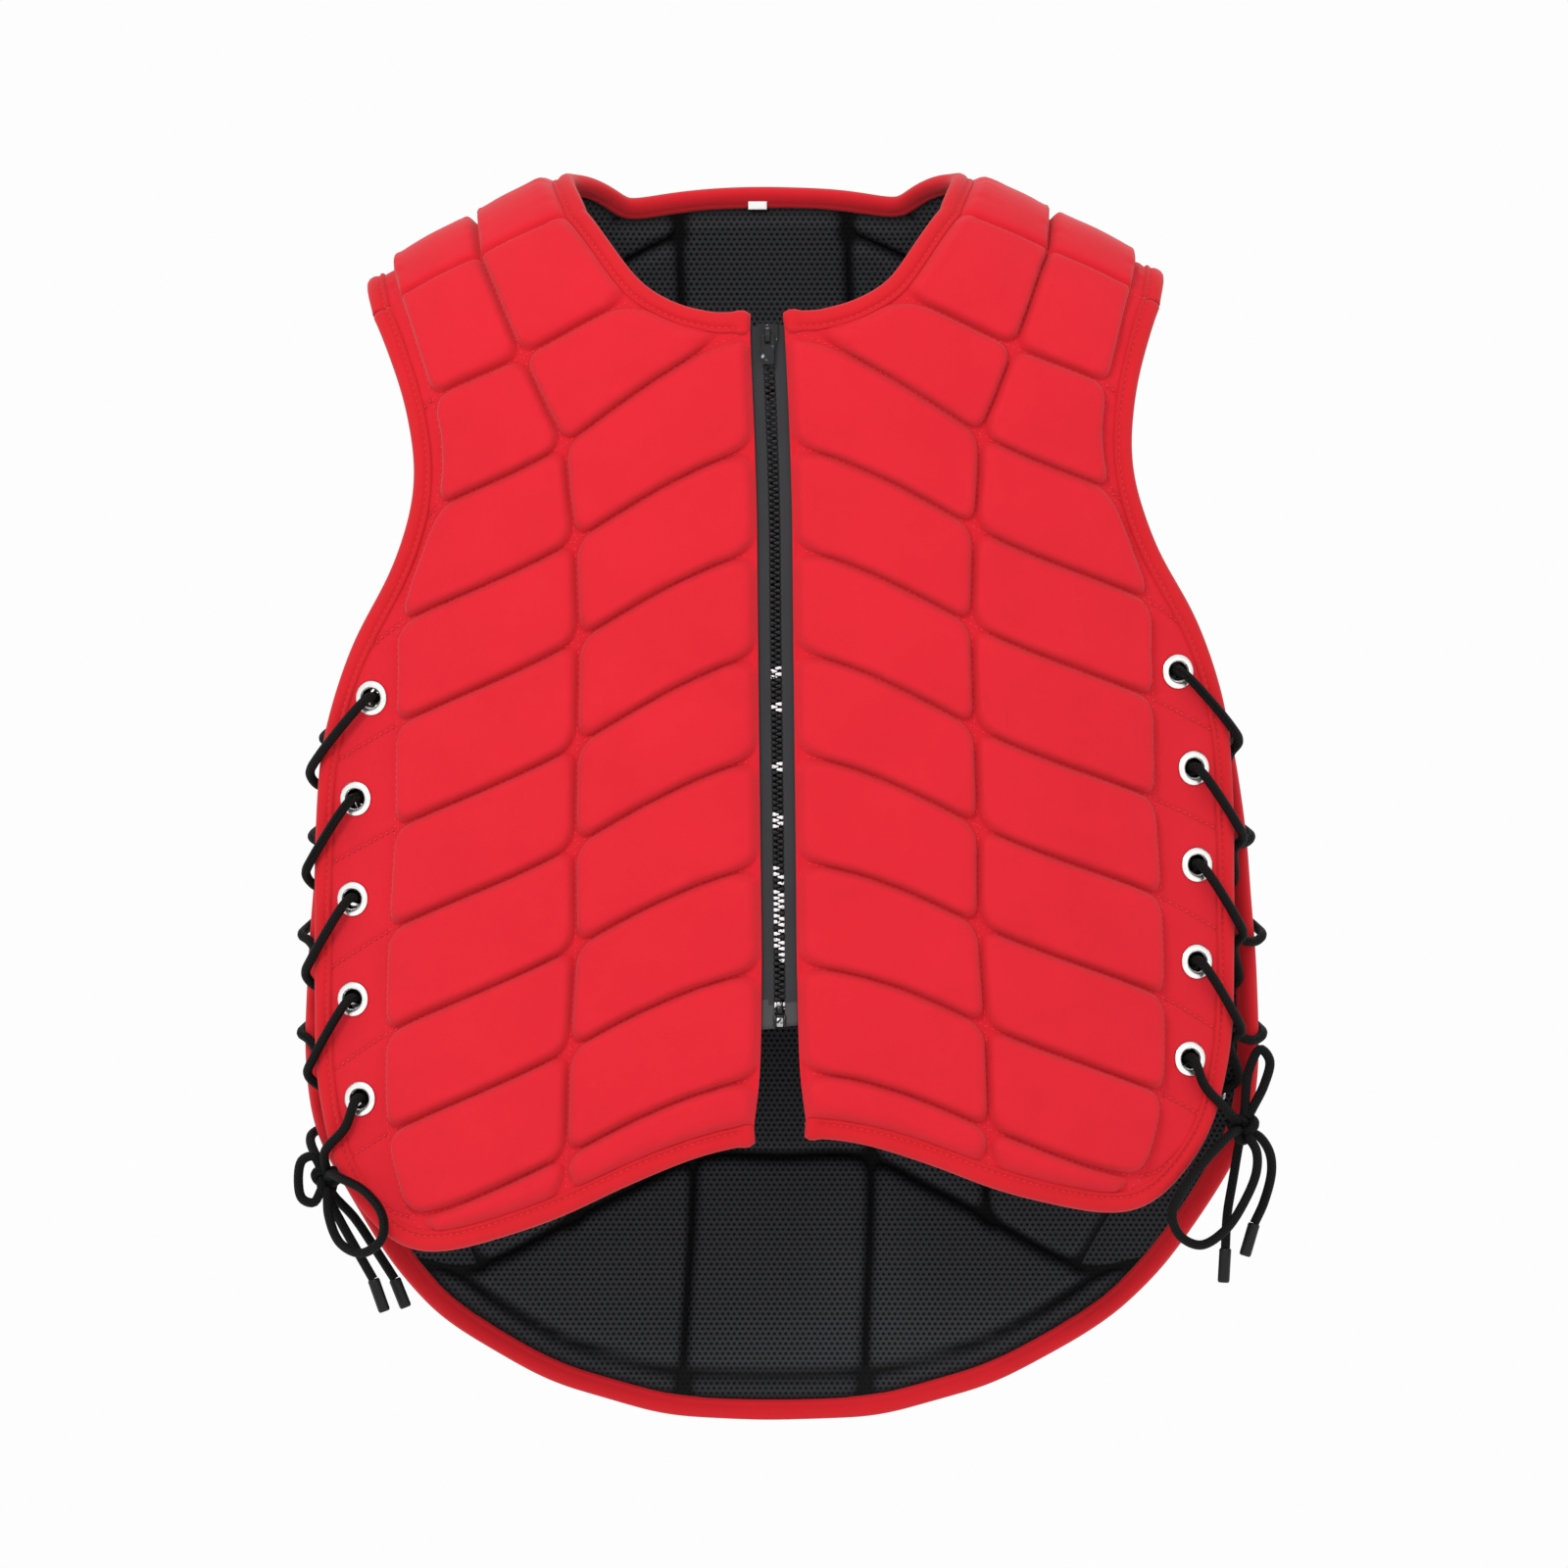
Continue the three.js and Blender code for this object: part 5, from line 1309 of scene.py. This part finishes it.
# A tooth from above, (across, along) from its root to its rounded head, and its (level, scale) upwards
TOOTH_OUTLINE = (
    (-0.6, 0.5), (0.6, 0.62), (1.6, 0.95), (2.9, 0.85),
    (2.9, -0.85), (1.6, -0.95), (0.6, -0.62), (-0.6, -0.5),
)
TOOTH_LEVELS = ((-1.1, 0.85), (-0.8, 1.0), (0.9, 1.0), (1.3, 0.72))
TOOTH_MIDDLE = 1.2
TOOTH_STRETCH = 1.1
# Heights between which some teeth get a painted highlight, bright metal on their fronts standing in for
# glints, and how many of the teeth there show it
GLINT_RANGES = ((-210, -219), (-232, -236), (-261, -270), (-287, -296), (-317, -368))
GLINT_SHARE = 0.75


def zip_places(x, heights):
    x = np.full(len(heights), float(x))
    point, normal = place_at(x, np.asarray(heights, float), -1)
    return settle(point, -1), normal


tape_top = ZIP_TOP - 1.0
tape_foot = ZIP_TOP - ZIP_LENGTH
for side, sign in (("left", -1), ("right", 1)):
    heights = np.linspace(tape_top, tape_foot, 120)
    layers = {1: [], -1: []}
    for x in np.linspace(*TAPE_EDGES, 12):
        centre, normal = zip_places(sign * x, heights)
        ridge = sum(tall * math.exp(-(((x - out) / wide) ** 2)) for out, wide, tall in TAPE_RIDGES)
        layers[1].append(centre + normal * (TAPE_THICK / 2 + ridge))
        layers[-1].append(centre - normal * TAPE_THICK / 2)
    points, faces = closed_sheet(np.stack(layers[1], axis=1), np.stack(layers[-1], axis=1))
    has_film = [int(points[list(face), 2].mean() < FILM_TOP) for face in faces]
    piece = make_piece(
        f"zip_cloth_{side}", points, faces, [ZIP_CLOTH, TAPE_FILM], face_materials=has_film, slot="zip_tape"
    )
    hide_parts(f"zip_tape_{side}")

# Teeth: each a small block with chamfered edges, left and right in turn
chain_foot = tape_foot + BOX_LENGTH + STOP_LENGTH + 0.6
tooth_heights = np.arange(tape_top - SLIDER_LENGTH, chain_foot, -TOOTH_PITCH)
tooth_sides = len(TOOTH_OUTLINE)
top_faces = range((len(TOOTH_LEVELS) - 2) * tooth_sides, (len(TOOTH_LEVELS) - 1) * tooth_sides + 2)
bottom_end = top_faces[-2]
across = np.array([1.0, 0.0, 0.0])
generator = np.random.default_rng(5)
parts, tooth_materials = [], []
for index, (height, centre, normal) in enumerate(zip(tooth_heights, *zip_places(0, tooth_heights))):
    sign = 1 if index % 2 else -1
    down = unit(np.cross(across, normal))
    shape = []
    for level, scale in TOOTH_LEVELS:
        for a, b in TOOTH_OUTLINE:
            width = sign * (TOOTH_MIDDLE + (a - TOOTH_MIDDLE) * scale)
            shape.append(centre + across * width + down * (b * scale * TOOTH_STRETCH) + normal * level)
    faces = turned_out(np.array(shape) - centre, ring_faces(len(TOOTH_LEVELS), tooth_sides))
    parts.append((shape, faces))
    # Painted highlight: in these ranges most teeth get bright metal on their front faces, standing in for
    # glints.
    in_range = any(low <= height <= high for high, low in GLINT_RANGES)
    has_painted_glint = in_range and generator.random() < GLINT_SHARE
    tooth_materials += [int(has_painted_glint and n in top_faces and n != bottom_end) for n in range(len(faces))]
piece = make_piece(
    "zip_teeth", *joined(parts), [PLASTIC, PAINTED_TOOTH_GLINTS], face_materials=tooth_materials, slot="zip_plastic"
)
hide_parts("zip_chain")

# The bottom stop is a bent clip of worn metal, and the box a dark frame round the bare end of the pin.
# Each block: its left and right, its foot and top, how far it stands back, and its material.
STOP_BLOCKS = (
    ((-2.9, -1.5), (-3.0, 2.9), 0.0, WORN_METAL), ((1.5, 2.9), (-1.2, 2.9), 0.0, WORN_METAL),
    ((-1.5, 1.5), (0.9, 2.9), 0.15, WORN_METAL), ((-1.45, 1.45), (-3.1, 0.85), 0.8, LACQUER),
)
BOX_BLOCKS = (
    ((-3.2, -1.8), (-3.1, 3.1), 0.0, LACQUER), ((1.8, 3.2), (-3.1, 3.1), 0.0, LACQUER),
    ((-1.8, 1.8), (1.8, 3.1), 0.1, LACQUER), ((-1.75, 1.75), (-3.0, 1.75), 0.35, WORN_METAL),
)
BLOCK_CORNER = 0.3
BLOCK_CHAMFER = 0.25
for node_name, slot_name, blocks in (
    ("zip_bottom_stop", "zip_metal", STOP_BLOCKS), ("zip_bottom_box", "zip_plastic", BOX_BLOCKS)
):
    low, high = (np.array(corner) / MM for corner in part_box(node_name))
    middle = (low + high) / 2
    parts, block_materials = [], []
    for (left, right), (foot, top), set_back, block_material in blocks:
        ring = [
            (left + BLOCK_CORNER, foot), (right - BLOCK_CORNER, foot), (right, foot + BLOCK_CORNER),
            (right, top - BLOCK_CORNER), (right - BLOCK_CORNER, top), (left + BLOCK_CORNER, top),
            (left, top - BLOCK_CORNER), (left, foot + BLOCK_CORNER),
        ]
        front = low[1] + set_back
        shape = []
        for y, inset in ((high[1], 0.0), (front + BLOCK_CHAMFER, 0.0), (front, BLOCK_CHAMFER)):
            for a, b in ring:
                a_in = a + inset * np.sign((left + right) / 2 - a)
                b_in = b + inset * np.sign((foot + top) / 2 - b)
                shape.append((middle[0] + a_in, y, middle[2] + b_in))
        shape = np.array(shape)
        faces = turned_out(shape - shape.mean(axis=0), ring_faces(3, len(ring)))
        parts.append((shape, faces))
        block_materials += [int(block_material is WORN_METAL)] * len(faces)
    piece = make_piece(
        node_name.replace("zip_", "shaped_"), *joined(parts), [LACQUER, WORN_METAL],
        face_materials=block_materials, slot=slot_name,
    )
    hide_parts(node_name)

for node_name in ("zip_slider", "zip_pull"):
    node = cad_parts[node_name]
    node.data.materials.clear()
    node.data.materials.append(LACQUER)
    soften = node.modifiers.new("worn_edges", "BEVEL")
    soften.width = 0.25 * MM
    soften.segments = 2
    soften.limit_method = "ANGLE"

# Studio: a pale floor far below, a white surround and large soft lights
floor_mesh = bpy.data.meshes.new("studio_floor")
floor_mesh.from_pydata([(-3, -3, -1), (3, -3, -1), (3, 3, -1), (-3, 3, -1)], [], [(0, 1, 2, 3)])
floor = bpy.data.objects.new("studio_floor", floor_mesh)
bpy.context.scene.collection.objects.link(floor)
paper = start_material("pale_studio_paper")[0]
floor_mesh.materials.append(end_material(paper, {"Base Color": linear("f2f2f0"), "Roughness": 0.9}))

world = bpy.data.worlds.new("white_surround")
world.use_nodes = True
background = world.node_tree.nodes["Background"]
background.inputs["Color"].default_value = linear("fdfdfd")
background.inputs["Strength"].default_value = 1.0
bpy.context.scene.world = world
# An ordinary bright product picture: the white surround shows as white, without a film curve.
bpy.context.scene.view_settings.view_transform = "Standard"


def add_light(name, place, aim, size, power):
    data = bpy.data.lights.new(name, "AREA")
    data.shape = "DISK"
    data.size = size
    data.energy = power
    lamp = bpy.data.objects.new(name, data)
    bpy.context.scene.collection.objects.link(lamp)
    lamp.location = place
    direction = np.array(aim, float) - np.array(place, float)
    yaw = math.atan2(direction[0], -direction[1])
    pitch = math.atan2(math.hypot(direction[0], direction[1]), -direction[2])
    lamp.rotation_euler = (pitch, 0.0, yaw + math.pi)


add_light("key", (-0.7, -2.2, 1.15), (0.0, 0.0, -0.25), 0.9, 34.0)
add_light("fill", (1.6, -2.0, 0.2), (0.0, 0.0, -0.3), 1.6, 4.0)
add_light("back", (0.4, 2.2, 1.2), (0.0, 0.0, -0.3), 1.6, 8.0)
